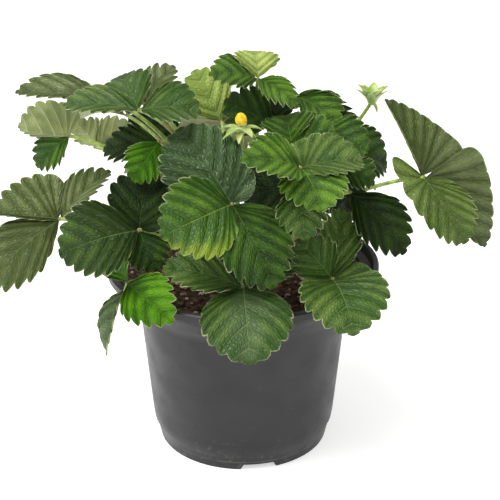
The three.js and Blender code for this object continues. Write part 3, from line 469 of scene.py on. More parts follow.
leafPlan = {
    "leaf_rim_front": leafOf(
        "sheen", seenAt(243, 287, 58), (-92, 30),
        leaflet(seenAt(250, 365, 106), 53, (0, 0.7, 0.7), arch=8, fold=3, belly=0.57, wedge=0.45, teeth=7,
                toothing=0.6, finish="sheenPatch"),
        leaflet(seenAt(162, 269, 58), 37, (0, 0.35, 0.9), arch=4, fold=8),
        leaflet(seenAt(290, 262, 30), 34, (0, 0.3, 0.9), arch=4, fold=8),
    ),
    "leaf_rim_left": leafOf(
        "vivid", seenAt(127, 283, 52), (-143, 30),
        leaflet(seenAt(173, 323, 86), 35, (-0.2, 0.7, 0.7), arch=4, fold=14),
        leaflet(seenAt(107, 352, 54), 32, (-0.93, 0.3, 0.25), arch=3, stalk=4, belly=0.6, blunt=0.3,
                teeth=5, toothing=0.6, finish="mossShade"),
        leaflet(seenAt(121, 243, 36), 34, (-0.8, 0.45, 0.35), arch=3, fold=12, teeth=5),
    ),
    "leaf_rim_right": leafOf(
        "sheen", seenAt(333, 279, 60), (-48, 29),
        leaflet(seenAt(354, 336, 96), 54, (0.15, 0.75, 0.65), arch=6, belly=0.55, wedge=0.45,
                sweepLeft=1.1, sweepRight=0.6, teeth=7),
        leaflet(seenAt(342, 208, 26), 28, (0.1, 0.85, 0.4), arch=3, teeth=5),
        leaflet(seenAt(299, 240, 50), 30, (-0.1, 0.8, 0.5), arch=3, fold=8, teeth=5),
    ),
    "leaf_centre": leafOf(
        "green", seenAt(232, 204, 50), (-97, 19),
        leaflet(seenAt(161, 237, 76), 50, (-0.1, 0.93, 0.4), arch=4, fold=8, belly=0.55, wedge=0.55,
                sweepLeft=0.3, sweepRight=0.3, teeth=7, finish="ripe"),
        leaflet(seenAt(179, 128, 20), 57, (0.1, 0.8, 0.6), arch=4, fold=8, belly=0.5, wedge=0.55,
                right=0.82, sweepRight=0.9, teeth=7, finish="blueSheen"),
        leaflet(seenAt(274, 289, 74), 46, (0.15, 0.85, 0.5), fold=12, belly=0.5, wedge=0.55, right=1.05,
                sweepRight=1.1, teeth=7, finish="shade"),
    ),
    "leaf_centre_right": leafOf(
        "green", seenAt(301, 168, 42), (-58, 15),
        leaflet(seenAt(240, 161, 52), 44, (0, 0.42, 0.9), arch=4, fold=20, belly=0.46, left=1.3,
                right=0.78, wedge=0.6, finish="lively"),
        leaflet(seenAt(322, 212, 72), 42, (0.1, 0.45, 0.9), arch=4, fold=4, belly=0.55, wedge=0.5,
                finish="lively"),
        leaflet(seenAt(364, 163, 36), 40, (0, 0.45, 0.9), arch=4, fold=12, belly=0.46, wedge=0.5,
                right=0.8, sweepLeft=0.9, finish="sheen"),
    ),
    "leaf_hanging": leafOf(
        "sheen", seenAt(297, 188, 46), (-72, 22),
        leaflet(seenAt(305, 241, 68), 32, (0.05, 0.85, 0.5), arch=4, fold=12),
        leaflet(seenAt(243, 196, 24), 40, (0, 0.85, 0.45), arch=3, fold=6, teeth=5, finish="dark"),
    ),
    "leaf_folded": leafOf(
        "green", seenAt(292, 145, 12), (-28, 12),
        leaflet(seenAt(286, 115, -8), 34, (-0.1, 0.75, 0.6), arch=3, fold=16, teeth=5, finish="lively"),
        leaflet(seenAt(338, 132, 4), 30, (0, 0.6, 0.8), arch=3, fold=14, teeth=5, finish="lively"),
    ),
    "leaf_top": leafOf(
        "green", seenAt(258, 79, -12), (60, 12),
        leaflet(seenAt(209, 75, -2), 36, (-0.1, 0.45, 0.88), arch=3, fold=8, right=0.85),
        leaflet(seenAt(298, 108, 6), 28, (0.1, 0.6, 0.8), arch=4, fold=14, left=0.6),
        leaflet(seenAt(252, 51, -30), 30, (0.3, 0.9, 0.5), arch=4, fold=8, teeth=5, finish="pale"),
    ),
    "leaf_top_dark": leafOf(
        "dark", seenAt(274, 124, -5), (8, 22),
        leaflet(seenAt(224, 101, -8), 33, (0, 0.95, 0.3), arch=3, fold=8, teeth=5, finish="shade"),
        leaflet(seenAt(277, 88, -28), 26, (0.1, 0.9, 0.4), arch=2, fold=6, teeth=5),
        leaflet(seenAt(283, 160, -3), 26, (0, 0.95, 0.3), arch=1, fold=4, teeth=5),
    ),
    "leaf_top_pale": leafOf(
        "pale", seenAt(222, 122, -42), (120, 17),
        leaflet(seenAt(194, 70, -58), 36, (0, 0.9, 0.3), arch=3, teeth=5),
        leaflet(seenAt(250, 98, -78), 30, (0, 0.3, 0.9), arch=4, teeth=4),
    ),
    "leaf_upper_right": leafOf(
        "dark", seenAt(296, 96, -30), (28, 18),
        leaflet(seenAt(356, 123, -24), 21, (0.1, 0.85, 0.5), arch=2, fold=6, belly=0.5, wedge=0.5,
                blunt=0.4, right=0.2, finish="shade"),
        leaflet(seenAt(337, 126, -12), 36, (0.1, 0.35, 0.95), arch=3, fold=8, right=0.9, finish="lively"),
        leaflet(seenAt(285, 114, -84), 30, (0, 0, 1), arch=4, fold=12, teeth=4),
    ),
    "leaf_right_inner": leafOf(
        "green", seenAt(317, 136, -4), (-8, 16),
        leaflet(seenAt(368, 152, 4), 36, (0, 0.6, 0.8), arch=4, fold=12),
        leaflet(seenAt(387, 166, -18), 38, (0.2, 0.6, 0.7), arch=4, stalk=14, finish="shade"),
    ),
    "leaf_right_small": leafOf(
        "vivid", seenAt(342, 170, 24), (-22, 22),
        leaflet(seenAt(374, 185, 30), 26, (0, 0.5, 0.8), arch=3, teeth=5, finish="shade"),
        leaflet(seenAt(346, 215, 4), 28, (0, 0.9, 0.3), arch=2, fold=6, teeth=5, finish="dark"),
    ),
    "leaf_far_right": leafOf(
        "olive", seenAt(424, 177, 8), (-5, 26),
        leaflet(seenAt(385, 99, -6), 60, (0.15, 0.9, 0.3), arch=2, fold=4, belly=0.1, left=0.04,
                right=0.95, wedge=0.3, blunt=0.6, sweepRight=0.08, toothing=0.25, finish="oliveShade"),
        leaflet(seenAt(485, 247, -8), 61, (0.05, 0.9, 0.3), arch=3, fold=4, belly=0.15, wedge=0.6,
                blunt=0.55, left=1.14, right=0.3, sweepLeft=-0.04, toothing=0.4, finish="oliveShade"),
        leaflet(seenAt(466, 243, 24), 40, (-0.1, 0.85, 0.5), fold=6, belly=0.55, wedge=0.35, blunt=0.45,
                left=0.85, right=0.8, sweepRight=3.4, sweepLeft=-0.3, teeth=7),
    ),
    "leaf_right_dark": leafOf(
        "dark", seenAt(350, 192, 26), (-34, 27),
        leaflet(seenAt(405, 254, 44), 36, (0.1, 0.7, 0.7), arch=4, fold=8),
    ),
    "leaf_upper_left": leafOf(
        "sheen", seenAt(139, 110, 14), (-158, 14),
        leaflet(seenAt(63, 106, 18), 44, (0, 0.12, 1), arch=3, fold=6),
        leaflet(seenAt(122, 75, -22), 33, (-0.2, 0.45, 0.85), arch=3, fold=8, teeth=5),
        leaflet(seenAt(201, 114, 18), 39, (0, 0.4, 0.9), arch=4, fold=12),
    ),
    "leaf_upper_left_back": leafOf(
        "sheen", seenAt(144, 104, -22), (170, 12),
        leaflet(seenAt(175, 66, -34), 24, (-0.4, 0.8, 0.4), arch=3, fold=12, teeth=5, finish="ashSheen"),
        leaflet(seenAt(150, 96, -84), 32, (0, 0.2, 1), arch=4, fold=12, teeth=4),
    ),
    "leaf_left_vivid": leafOf(
        "vivid", seenAt(159, 141, 20), (-168, 20),
        leaflet(seenAt(133, 182, 32), 27, (0.1, 0.85, 0.5), arch=3, fold=8),
        leaflet(seenAt(104, 150, -4), 25, (-0.1, 0.75, 0.6), arch=2, teeth=5, finish="dark"),
    ),
    "leaf_far_upper_left": leafOf(
        "pale", seenAt(70, 136, -14), (176, 24),
        leaflet(seenAt(18, 127, -12), 42, (0, -0.9, 0.4), arch=-2, fold=6, left=1.2, right=0.3,
                sweepLeft=1.2),
        leaflet(seenAt(37, 167, -14), 24, (-0.2, 0.85, 0.5), arch=3, fold=8, teeth=5, finish="green"),
    ),
    "leaf_left_fan": leafOf(
        "olive", seenAt(95, 147, -25), (165, 18),
        leaflet(seenAt(74, 122, -27), 26, (0, -0.9, 0.4), arch=3, fold=8, teeth=5, finish="ashSheen"),
        leaflet(seenAt(133, 125, -19), 26, (0, -0.9, 0.4), arch=3, fold=8, teeth=5, finish="ashSheen"),
    ),
    "leaf_top_left": leafOf(
        "olive", seenAt(106, 98, -40), (150, 20),
        leaflet(seenAt(15, 93, -36), 38, (0, 0.3, 0.95), arch=2, fold=8, left=0.5, finish="ashSheen"),
        leaflet(seenAt(92, 110, -92), 34, (0, 0, 1), arch=4, teeth=4),
    ),
    "leaf_far_left": leafOf(
        "olive", seenAt(60, 219, 14), (-160, 28),
        leaflet(seenAt(-10, 213, 16), 54, (-0.1, 0.75, 0.66), arch=1, left=0.1, belly=0.33, wedge=0.5,
                sweepRight=0.3, finish="ashSheen"),
        leaflet(seenAt(111, 171, -4), 28, (-0.6, 0.6, 0.4), arch=3, fold=20, finish="ashSheen"),
        leaflet(seenAt(-16, 286, 34), 46, (-0.1, 0.6, 0.8), fold=6, left=1.1, right=0.9, finish="oliveShade"),
    ),
    "leaf_left": leafOf(
        "green", seenAt(139, 230, 44), (-152, 21),
        leaflet(seenAt(59, 255, 58), 50, (-0.1, 0.75, 0.66), fold=8, belly=0.55, wedge=0.6, teeth=7,
                finish="mossShade"),
        leaflet(seenAt(146, 170, 14), 41, (0, 0.85, 0.45), arch=3, fold=8, wedge=0.45, sweepLeft=0.7,
                sweepRight=0.7, teeth=5, finish="dark"),
        leaflet(seenAt(157, 271, 50), 27, (0, 0.85, 0.45), arch=3, fold=8, teeth=5, finish="shade"),
    ),
    "leaf_back_left": leafOf(
        "green", Vector((-75, 58, 196)), (142, 28),
        leaflet(Vector((-112, 78, 184)), 40, (-0.1, -0.2, 1), wedge=1.1, belly=0.6, teeth=4),
        leaflet(Vector((-62, 94, 182)), 40, (0, -0.3, 1), wedge=1.1, belly=0.6, teeth=4),
        leaflet(Vector((-42, 60, 172)), 34, (0, 0.9, 0.4), arch=2, fold=6, teeth=4, finish="shade"),
    ),
    "leaf_back_low_left": leafOf(
        "sheen", Vector((-52, 78, 160)), (124, 27),
        leaflet(Vector((-72, 98, 128)), 36, (-0.2, -0.7, 0.7), arch=6),
        leaflet(Vector((-27, 104, 136)), 34, (0.1, -0.6, 0.8), wedge=1.1, belly=0.6, teeth=4),
    ),
    "leaf_back_middle": leafOf(
        "green", Vector((-8, 76, 186)), (96, 26),
        leaflet(Vector((-14, 96, 152)), 48, (0, -0.8, 0.6), arch=7),
        leaflet(Vector((-44, 82, 174)), 38, (-0.2, -0.4, 0.9), wedge=1.1, belly=0.6, teeth=4),
        leaflet(Vector((28, 86, 176)), 38, (0.1, -0.4, 0.9), wedge=1.1, belly=0.6, teeth=4),
    ),
    "leaf_back_right": leafOf(
        "sheen", Vector((50, 78, 154)), (60, 28),
        leaflet(Vector((60, 96, 122)), 48, (0.1, -0.8, 0.6), arch=7),
        leaflet(Vector((90, 74, 138)), 38, (0.4, -0.3, 0.9), wedge=1.1, belly=0.6, teeth=4),
    ),
    "leaf_back_far_right": leafOf(
        "green", Vector((84, 56, 134)), (36, 30),
        leaflet(Vector((99, 80, 104)), 38, (0.7, -0.3, 0.6), arch=6),
        leaflet(Vector((97, 48, 118)), 28, (0.6, 0.1, 0.8), arch=4, wedge=1.1, belly=0.6, teeth=4),
        leaflet(Vector((78, 86, 112)), 34, (0.3, -0.7, 0.6), arch=4, wedge=1.1, belly=0.6, teeth=4),
    ),
}


def outlineAt(share):  # how far up the outline a share of the toothed stretch lies
    toothed = 1 - max(0, 1 - share) ** blade["tipCrowding"]
    return blade["entireBase"] + (1 - blade["entireBase"]) * toothed


def swellOf(spec, outline):  # the half width as a share of the widest
    power = math.log(0.5) / math.log(spec["belly"])
    bulge = max(0, math.sin(math.pi * outline ** power))
    return bulge ** (spec["wedge"] if outline < spec["belly"] else spec["blunt"])


# How far out the margin reaches at a place in the row of teeth: 1 at a tooth's tip
def marginShare(row, halfWidth, toothing):
    if row < blade["toothPeak"]:
        return 1
    cut = min(blade["toothDepthLimit"], toothing * blade["toothDepth"] / max(halfWidth, 0.01))
    part = row % 1
    if part < blade["toothPeak"]:
        rise = (part / blade["toothPeak"]) ** blade["toothRise"]
    else:
        rise = ((1 - part) / (1 - blade["toothPeak"])) ** blade["toothFall"]
    return 1 - cut * (1 - rise)


def bladeAxes(hub, spec):
    along = spec["tip"] - hub
    reach = along.length
    along.normalize()
    upper = Vector((spec["face"][0], -spec["face"][1], spec["face"][2]))
    upper = (upper - along * upper.dot(along)).normalized()
    return along, upper, along.cross(upper), reach


# The lowest veins bend outwards, those above arch towards the tip
def veinBend(outline, far):
    turn = min(1, max(0, (outline - blade["archFrom"]) / blade["archOver"]))
    turn = turn * turn * (3 - 2 * turn)
    arched = far + blade["archCurve"] * (far ** 3 - far)
    return (1 - turn) * (1 - (1 - far) ** blade["footCurve"]) + turn * arched


def noiseAt(row, half, scale, seed):
    return noise.noise(Vector((row * scale[0], half * scale[1], seed)))


# A point of a blade: outline runs from 0 at its base to 1 at its tip, row counts the teeth up to there,
# and half runs from -1 at one margin to 1 at the other
def bladePlace(hub, spec, axes, outline, row, half, seed):
    along, upper, across, reach = axes
    length = reach - spec["stalk"]
    side, sweep = (spec["left"], spec["sweepLeft"]) if half < 0 else (spec["right"], spec["sweepRight"])
    full = spec["width"] / 2 * swellOf(spec, outline)
    halfWidth = max(blade["baseWidth"] / 2, full * side)
    rib = outline ** blade["veinLean"]
    far = abs(half) * marginShare(row, full, spec["toothing"])
    out = far * halfWidth if outline < 1 - blade["tiny"] else 0
    bend = veinBend(outline, far)
    forward = spec["stalk"] + length * (rib + (outline - rib) * bend) - sweep * out * (1 - outline) ** 2
    share = max(0, (forward - spec["stalk"]) / length)
    fold = math.radians(spec["fold"])
    ridge = abs(math.sin(math.pi * (row - blade["toothPeak"]))) ** blade["pleatCurve"]
    ridge *= min(1, outline * 5) * min(1, 4 * (1 - outline) + 0.2)
    fullness = min(1, out / blade["fullFrom"])
    rise = out * math.sin(fold) + spec["arch"] * 4 * share * (1 - share)
    rise += ridge * blade["pleatHeight"] * far
    rise += blade["pillow"] * math.sin(math.pi * far) * fullness
    rise += noiseAt(row, half, blade["waveScale"], seed) * blade["waviness"] * far * fullness
    rise += noiseAt(row, half, blade["quiltScale"], seed + 20) * blade["quilting"] * fullness
    return hub + along * forward + across * math.copysign(out * math.cos(fold), half) + upper * rise


# Gives a sheet its thickness; returns its faces, those of the sheet itself and those of its far side
def thicken(bm, verts, thickness):
    sheet = set(verts)
    faces = list({face for vert in verts for face in vert.link_faces})
    bmesh.ops.recalc_face_normals(bm, faces=faces)
    made = bmesh.ops.extrude_face_region(bm, geom=faces, use_keep_orig=True)["geom"]
    moved = [part for part in made if isinstance(part, bmesh.types.BMVert)]
    whole = {face for vert in list(verts) + moved for face in vert.link_faces}
    for face in whole:
        face.normal_update()
    for vert in moved:
        vert.normal_update()
    outward = sum((vert.normal for vert in moved), Vector())
    for vert in moved:
        vert.co -= vert.normal * thickness
    bmesh.ops.recalc_face_normals(bm, faces=list(whole))
    if sum(face.normal.dot(outward) for face in faces) < 0:
        bmesh.ops.reverse_faces(bm, faces=list(whole))
    for face in whole:
        face.normal_update()
    near = [face for face in whole if all(vert in sheet for vert in face.verts)]
    far = [face for face in whole if not any(vert in sheet for vert in face.verts)]
    return whole, near, far


def growLeaflet(bm, hub, spec, seed, tone, materials):
    axes = bladeAxes(hub, spec)
    upper = axes[1]
    columns = blade["baseColumns"] + round((spec["teeth"] + 0.5) * blade["columnsPerTooth"])
    made = bmesh.ops.create_grid(bm, x_segments=columns, y_segments=blade["rowsPerHalf"] * 2, size=1)
    rowLayer = bm.verts.layers.float["rowPlace"]
    halfLayer = bm.verts.layers.float["halfPlace"]
    toneLayer = bm.verts.layers.float["leafTone"]
    margin = []
    for vert in made["verts"]:
        column = round((vert.co.x + 1) / 2 * columns) - blade["baseColumns"]
        half = -vert.co.y
        row = column / blade["columnsPerTooth"]
        if column < 0:
            outline = blade["entireBase"] * max(0.01, 1 + column / blade["baseColumns"])
        else:
            outline = outlineAt(row / (spec["teeth"] + 0.5))
        vert[rowLayer] = row
        vert[halfLayer] = half
        vert[toneLayer] = tone
        vert.co = bladePlace(hub, spec, axes, outline, row, half, seed)
        if abs(half) > 0.999 and column > 0 and outline < 0.999:
            margin.append((column, half, vert.co.copy()))
    bmesh.ops.remove_doubles(bm, verts=made["verts"], dist=0.01)
    sheet = [vert for vert in made["verts"] if vert.is_valid]
    whole, first, second = thicken(bm, sheet, blade["thickness"])
    under = second if sum(face.normal.dot(upper) for face in first) > 0 else first
    for face in whole:
        face.material_index = materials["upper"]
    for face in under:
        face.material_index = materials["under"]
    verts = list({vert for face in whole for vert in face.verts})
    bmesh.ops.remove_doubles(bm, verts=verts, dist=0.02)
    return margin, axes


# Short pale hairs that stand out of the margin
def growFringe(bm, margin, axes, draw, material):
    along, upper, across = axes[:3]
    for column, half, place in margin:
        if column % blade["fringeStep"]:
            continue
        out = across * math.copysign(1, half) + along * draw.uniform(*blade["fringeForward"])
        out += upper * draw.uniform(*blade["fringeLift"])
        length = blade["fringeLength"] * draw.uniform(*blade["fringeShare"])
        addHair(bm, place, out.normalized(), length, blade["fringeRadius"], material)


def bezierPoints(first, second, third, fourth, steps):
    points = []
    for step in range(steps + 1):
        t = step / steps
        u = 1 - t
        points.append(first * u ** 3 + second * 3 * u * u * t + third * 3 * u * t * t + fourth * t ** 3)
    return points


def rootPlace(root):
    turn = math.radians(root[0])
    return root[1] * math.cos(turn), root[1] * math.sin(turn)


# A stalk stands straight in the soil, then follows a curve to its end
def growStalk(bm, root, upward, inward, end, draw, materials):
    x, y = rootPlace(root)
    low = Vector((x, y, petiole["soilTop"] - petiole["rootDepth"]))
    neck = Vector((x, y, petiole["soilTop"] + petiole["neck"]))
    points = [low] + bezierPoints(neck, upward, inward, end, petiole["steps"])
    last = len(points) - 1
    radii = [petiole["radiusLow"] + (petiole["radiusHigh"] - petiole["radiusLow"]) * n / last
             for n in range(last + 1)]
    directions = sweepRod(bm, points, radii, petiole["sides"], materials["petiole"])
    for order in range(1, last):
        step = points[order + 1] - points[order]
        hairs = round(step.length * petiole["hairsPerMm"])
        for hair in range(hairs):
            share = (hair + draw.random()) / hairs
            spin = Matrix.Rotation(draw.uniform(0, 2 * math.pi), 3, directions[order])
            out = spin @ directions[order].orthogonal().normalized()
            foot = points[order] + step * share + out * radii[order] * petiole["hairSink"]
            lean = (out + directions[order] * draw.uniform(*petiole["hairLean"])).normalized()
            length = petiole["hairLength"] * draw.uniform(*petiole["hairShare"])
            addHair(bm, foot, lean, length, petiole["hairRadius"], materials["hair"])


def newPlantMesh():
    bm = bmesh.new()
    for name in ("rowPlace", "halfPlace", "leafTone"):
        bm.verts.layers.float.new(name)
    bm.loops.layers.uv.new("leafMap")
    return bm


def writeLeafMap(bm):  # copies each vertex's place in the blade to the leaf map
    rowLayer = bm.verts.layers.float["rowPlace"]
    halfLayer = bm.verts.layers.float["halfPlace"]
    uvLayer = bm.loops.layers.uv["leafMap"]
    for face in bm.faces:
        for loop in face.loops:
            row = loop.vert[rowLayer] / leafWear["mapScale"]
            loop[uvLayer].uv = (row, (loop.vert[halfLayer] + 1) / 2)
    bm.verts.layers.float.remove(bm.verts.layers.float["rowPlace"])
    bm.verts.layers.float.remove(bm.verts.layers.float["halfPlace"])


def growLeaf(name, plan, order):
    draw = random.Random(100 + order)
    finishes = [plan["finish"]]
    for spec in plan["leaflets"]:
        if spec["finish"] and spec["finish"] not in finishes:
            finishes.append(spec["finish"])
    under, skin, hair, joint = range(len(finishes), len(finishes) + 4)
    bm = newPlantMesh()
    hub = plan["hub"]
    x, y = rootPlace(plan["root"])
    rise = hub.z - petiole["soilTop"]
    upward = Vector((x, y, petiole["soilTop"] + petiole["neck"] + rise * petiole["rise"]))
    inward = Vector((x + (hub.x - x) * petiole["lean"], y + (hub.y - y) * petiole["lean"],
                     petiole["soilTop"] + rise * petiole["shoulder"]))
    growStalk(bm, plan["root"], upward, inward, hub, draw, {"petiole": skin, "hair": hair})
    knuckle = bmesh.ops.create_icosphere(bm, subdivisions=2, radius=petiole["knuckle"],
                                         matrix=Matrix.Translation(hub))
    for face in {face for vert in knuckle["verts"] for face in vert.link_faces}:
        face.material_index = joint
    for number, spec in enumerate(plan["leaflets"]):
        upper = finishes.index(spec["finish"] or plan["finish"])
        seed = order * blade["seedStep"][0] + number * blade["seedStep"][1]
        tone = draw.uniform(-blade["toneSpread"], blade["toneSpread"])
        margin, axes = growLeaflet(bm, hub, spec, seed, tone, {"upper": upper, "under": under})
        growFringe(bm, margin, axes, draw, hair)
        if spec["stalk"] > petiole["knuckle"]:
            ends = [hub, hub + axes[0] * (spec["stalk"] + petiole["branchSink"])]
            sweepRod(bm, ends, petiole["branchRadii"], petiole["branchSides"], skin)
    writeLeafMap(bm)
    materials = [upperMaterials[finish] for finish in finishes]
    materials += [underSide, petioleSkin, plantHair, knuckleSkin]
    piece = newPiece(name + "_fine", bm, materials, 60)
    seat(piece, "leaf_" + plan["finish"], name)
    return piece


upperMaterials = {key: upperMaterial("leafUpper_" + key, finish) for key, finish in leafFinishes.items()}
underSide = underMaterial()
petioleSkin = petioleMaterial()
plantHair = hairMaterial()
knuckleSkin = knuckleMaterial()
for order, (name, plan) in enumerate(leafPlan.items()):
    growLeaf(name, plan, order)
print("leaves grown:", len(leafPlan))

# Flower and calyx

flower = {
    "base": seenAt(241, 128, 31), "root": (-118, 13), "bend": seenAt(246, 166, 18), "stalkRise": 50,
    "domeRadius": 3.65, "domeHeight": 7.0, "coneLift": 1.85, "pistils": 150, "pistilRadius": 0.42,
    "taper": 0.3,
    "ring": {"count": 5, "turn": 0.2, "spread": 13, "rise": -2, "width": 5, "narrowSpread": -2,
             "narrowSlimming": 1.6, "narrowStartDrop": 1.7, "narrowTipDrop": 4},
}
calyx = {
    "base": seenAt(372, 101, -34), "root": (14, 27), "bend": seenAt(352, 136, -46), "stalkRise": 50,
    "bractTip": Vector((3.4, -1.5, -7)), "bractFace": Vector((1, -1, 0.5)), "bractWidth": 2.6,
    "ring": {"count": 5, "turn": 0.1, "spread": 10, "rise": 9.5, "width": 7, "narrowSpread": 0.5,
             "narrowSlimming": 2, "narrowStartDrop": 1.4, "narrowTipDrop": 1.5},
}
sepal = {  # shape shares of one sepal, and its thickness in mm
    "bow": 0.1, "foot": 0.12, "wedge": 0.85, "blunt": 0.8, "tip": 0.02, "trough": 0.8, "seat": 0.6,
    "thickness": 0.35,
}
sepalWear = {
    "deep": "#829f3c", "light": "#b0c176", "rust": "#b88a48", "coneDeep": "#d8ac00", "coneLight": "#f0d61c",
}
receptacleRadius = 3  # mm
goldenAngle = 137.508  # degrees from one pistil or scale to the next


def sepalMaterial():
    made, tree, shader = newMaterial("sepalSkin", 0.5, specular=0.4, sheen=0.3)
    colour = mixOf(tree, rangeOf(tree, noiseOf(tree, 160, 3), 0.35, 0.7), paint(sepalWear["deep"]),
                   paint(sepalWear["light"]))
    rust = rangeOf(tree, noiseOf(tree, 110, 2), 0.62, 0.72, 0.0, 0.5)
    colour = mixOf(tree, rust, colour, paint(sepalWear["rust"]))
    tree.links.new(colour, shader.inputs["Base Color"])
    bumpInto(tree, shader, noiseOf(tree, 1400, 2), 0.3, 0.0003)
    return made


def coneMaterial():
    made, tree, shader = newMaterial("coneSkin", 0.55, specular=0.4, sheen=0.2)
    warm = rangeOf(tree, noiseOf(tree, 350, 2), 0.35, 0.65)
    colour = mixOf(tree, warm, paint(sepalWear["coneDeep"]), paint(sepalWear["coneLight"]))
    tree.links.new(colour, shader.inputs["Base Color"])
    bumpInto(tree, shader, cellsOf(tree, 1500), 0.4, 0.0003)
    return made


def growSepal(bm, base, tip, upper, width, material):
    along = tip - base
    across = along.cross(upper).normalized() * (width / 2)
    bow = upper.normalized() * (along.length * sepal["bow"])
    made = bmesh.ops.create_grid(bm, x_segments=12, y_segments=6, size=1)
    for vert in made["verts"]:
        share = (vert.co.x + 1) / 2
        side = -vert.co.y
        lengthwise = (sepal["foot"] + (1 - sepal["foot"]) * share) ** sepal["wedge"]
        girth = max(sepal["tip"], math.sin(math.pi * lengthwise)) ** sepal["blunt"]
        lift = 4 * share * (1 - share) * sepal["trough"] * (1 + side * side)
        vert.co = base + along * share + across * side * girth + bow * lift
    for face in thicken(bm, made["verts"], sepal["thickness"])[0]:
        face.material_index = material


def growSepalRing(bm, base, ring, material):
    for order in range(ring["count"] * 2):
        turn = order / ring["count"] * math.pi + ring["turn"]
        narrow = order % 2
        outward = Vector((math.cos(turn), math.sin(turn), 0))
        start = base + outward * receptacleRadius * sepal["seat"]
        tip = base + outward * (ring["spread"] + narrow * ring["narrowSpread"])
        start.z -= narrow * ring["narrowStartDrop"]
        tip.z += ring["rise"] - narrow * ring["narrowTipDrop"]
        upper = outward * (-max(0, ring["rise"]) / ring["spread"]) + Vector((0, 0, 1))
        growSepal(bm, start, tip, upper, ring["width"] - narrow * ring["narrowSlimming"], material)


def growFlowerStalk(name, plan, end, cupPlace, seed, bract=None):
    draw = random.Random(seed)
    bm = newPlantMesh()
    x, y = rootPlace(plan["root"])
    upward = Vector((x, y, petiole["soilTop"] + plan["stalkRise"]))
    growStalk(bm, plan["root"], upward, plan["bend"], end, draw, {"petiole": 1, "hair": 2})
    cup = bmesh.ops.create_uvsphere(bm, u_segments=20, v_segments=12, radius=receptacleRadius,
                                    matrix=Matrix.Translation(cupPlace))
    bmesh.ops.scale(bm, vec=(1, 1, 0.9), space=Matrix.Translation(-cupPlace), verts=cup["verts"])
    growSepalRing(bm, plan["base"], plan["ring"], 0)
    if bract:
        growSepal(bm, plan["base"], plan["base"] + bract, plan["bractFace"], plan["bractWidth"], 0)
    writeLeafMap(bm)
    piece = newPiece(name + "_fine", bm, [sepalSkin, petioleSkin, plantHair], 60)
    seat(piece, "sepal", name)


def domePlace(base, out):  # a point of the unit ball, moved to the tapering dome
    lift = (out.z + 1) / 2
    girth = flower["domeRadius"] * (1 - flower["taper"] * lift)
    return base + Vector((out.x * girth, out.y * girth, lift * flower["domeHeight"]))


# The receptacle is a dome set with pistils in a spiral
def growCone():
    draw = random.Random(7)
    bm = bmesh.new()
    base = flower["base"] + Vector((0, 0, flower["coneLift"]))
    dome = bmesh.ops.create_uvsphere(bm, u_segments=24, v_segments=16, radius=1)
    for vert in dome["verts"]:
        vert.co = domePlace(base, vert.co)
    for order in range(flower["pistils"]):
        share = (order + 0.5) / flower["pistils"]
        polar = math.acos(1 - 1.75 * share)
        turn = order * math.radians(goldenAngle)
        out = Vector((math.sin(polar) * math.cos(turn), math.sin(polar) * math.sin(turn), math.cos(polar)))
        size = flower["pistilRadius"] * draw.uniform(0.8, 1.1)
        place = Matrix.Translation(domePlace(base, out))
        bmesh.ops.create_icosphere(bm, subdivisions=1, radius=size, matrix=place)
    piece = newPiece("flower_cone_fine", bm, [coneSkin])
    seat(piece, "cone", "flower_cone")


sepalSkin = sepalMaterial()
coneSkin = coneMaterial()
flowerCup = flower["base"] - Vector((0, 0, receptacleRadius / 2))
growFlowerStalk("flower_stalk", flower, flowerCup, flowerCup, 11)
growFlowerStalk("calyx", calyx, calyx["base"], calyx["base"], 12, calyx["bractTip"])
growCone()
print("flower and calyx grown")

# Pot

pot = {  # mm; the outline's corners from the foot up, as (radius, height)
    "outside": [(54.5, 0), (56.6, 10), (58.2, 13), (59, 18.5), (65.8, 94), (68.5, 99), (75, 106.5),
                (82.4, 114)],
    "rimRadius": 85, "height": 119.5, "lipHeight": 4.6, "rounding": 0.8, "wall": 1.8,
    "footWidth": 2.8, "floorUnderside": 4.2, "floorTop": 6, "sides": 180,
    "notchCount": 3, "notchWidth": 22, "notchHeight": 3.8, "notchFirst": -80,
    "holeCount": 6, "holeRadius": 4.5, "holeCircle": 36, "cutterDepth": 8,
    "softCorners": 2.2, "paleRingHeight": 5.6,
    "dark": "#19181a", "light": "#222123", "dust": "#6b6966", "scuff": "#55545a", "footTint": "#6e6a62",
}


def potMaterial():
    made, tree, shader = newMaterial("potPlastic", 0.42, specular=0.36)
    cloud = rangeOf(tree, noiseOf(tree, 18, 4, 0.6), 0.3, 0.7)
    colour = mixOf(tree, cloud, paint(pot["dark"]), paint(pot["light"]))
    dust = rangeOf(tree, noiseOf(tree, 700, 4, 0.7), 0.62, 0.8, 0.0, 0.35)
    colour = mixOf(tree, dust, colour, paint(pot["dust"]))
    scuff = rangeOf(tree, noiseOf(tree, 120, 3, 0.6, (1, 1, 14)), 0.64, 0.76, 0.0, 0.3)
    colour = mixOf(tree, scuff, colour, paint(pot["scuff"]))
    height = addNode(tree, "ShaderNodeSeparateXYZ",
                     {0: addNode(tree, "ShaderNodeTexCoord").outputs["Object"]}).outputs["Z"]
    # Paler specks, more of them towards the foot
    specks = rangeOf(tree, noiseOf(tree, 260, 5, 0.7), 0.55, 0.72, 0.0, 0.5)
    footTint = mathOf(tree, "MULTIPLY", rangeOf(tree, height, 0.03, 0.004), specks)
    colour = mixOf(tree, footTint, colour, paint(pot["footTint"]))
    # A thin, broken paler ring near the foot
    away = mathOf(tree, "ABSOLUTE", mathOf(tree, "SUBTRACT", height, pot["paleRingHeight"] * 0.001))
    broken = rangeOf(tree, noiseOf(tree, 90), 0.3, 0.6, 0.0, 0.5)
    ring = mathOf(tree, "MULTIPLY", rangeOf(tree, away, 0.0006, 0.0), broken)
    colour = mixOf(tree, ring, colour, paint(pot["footTint"]))
    tree.links.new(colour, shader.inputs["Base Color"])
    tree.links.new(rangeOf(tree, noiseOf(tree, 60, 4), 0.3, 0.7, 0.36, 0.5), shader.inputs["Roughness"])
    bumpInto(tree, shader, noiseOf(tree, 2200, 3), 0.12, 0.0002)
    return made


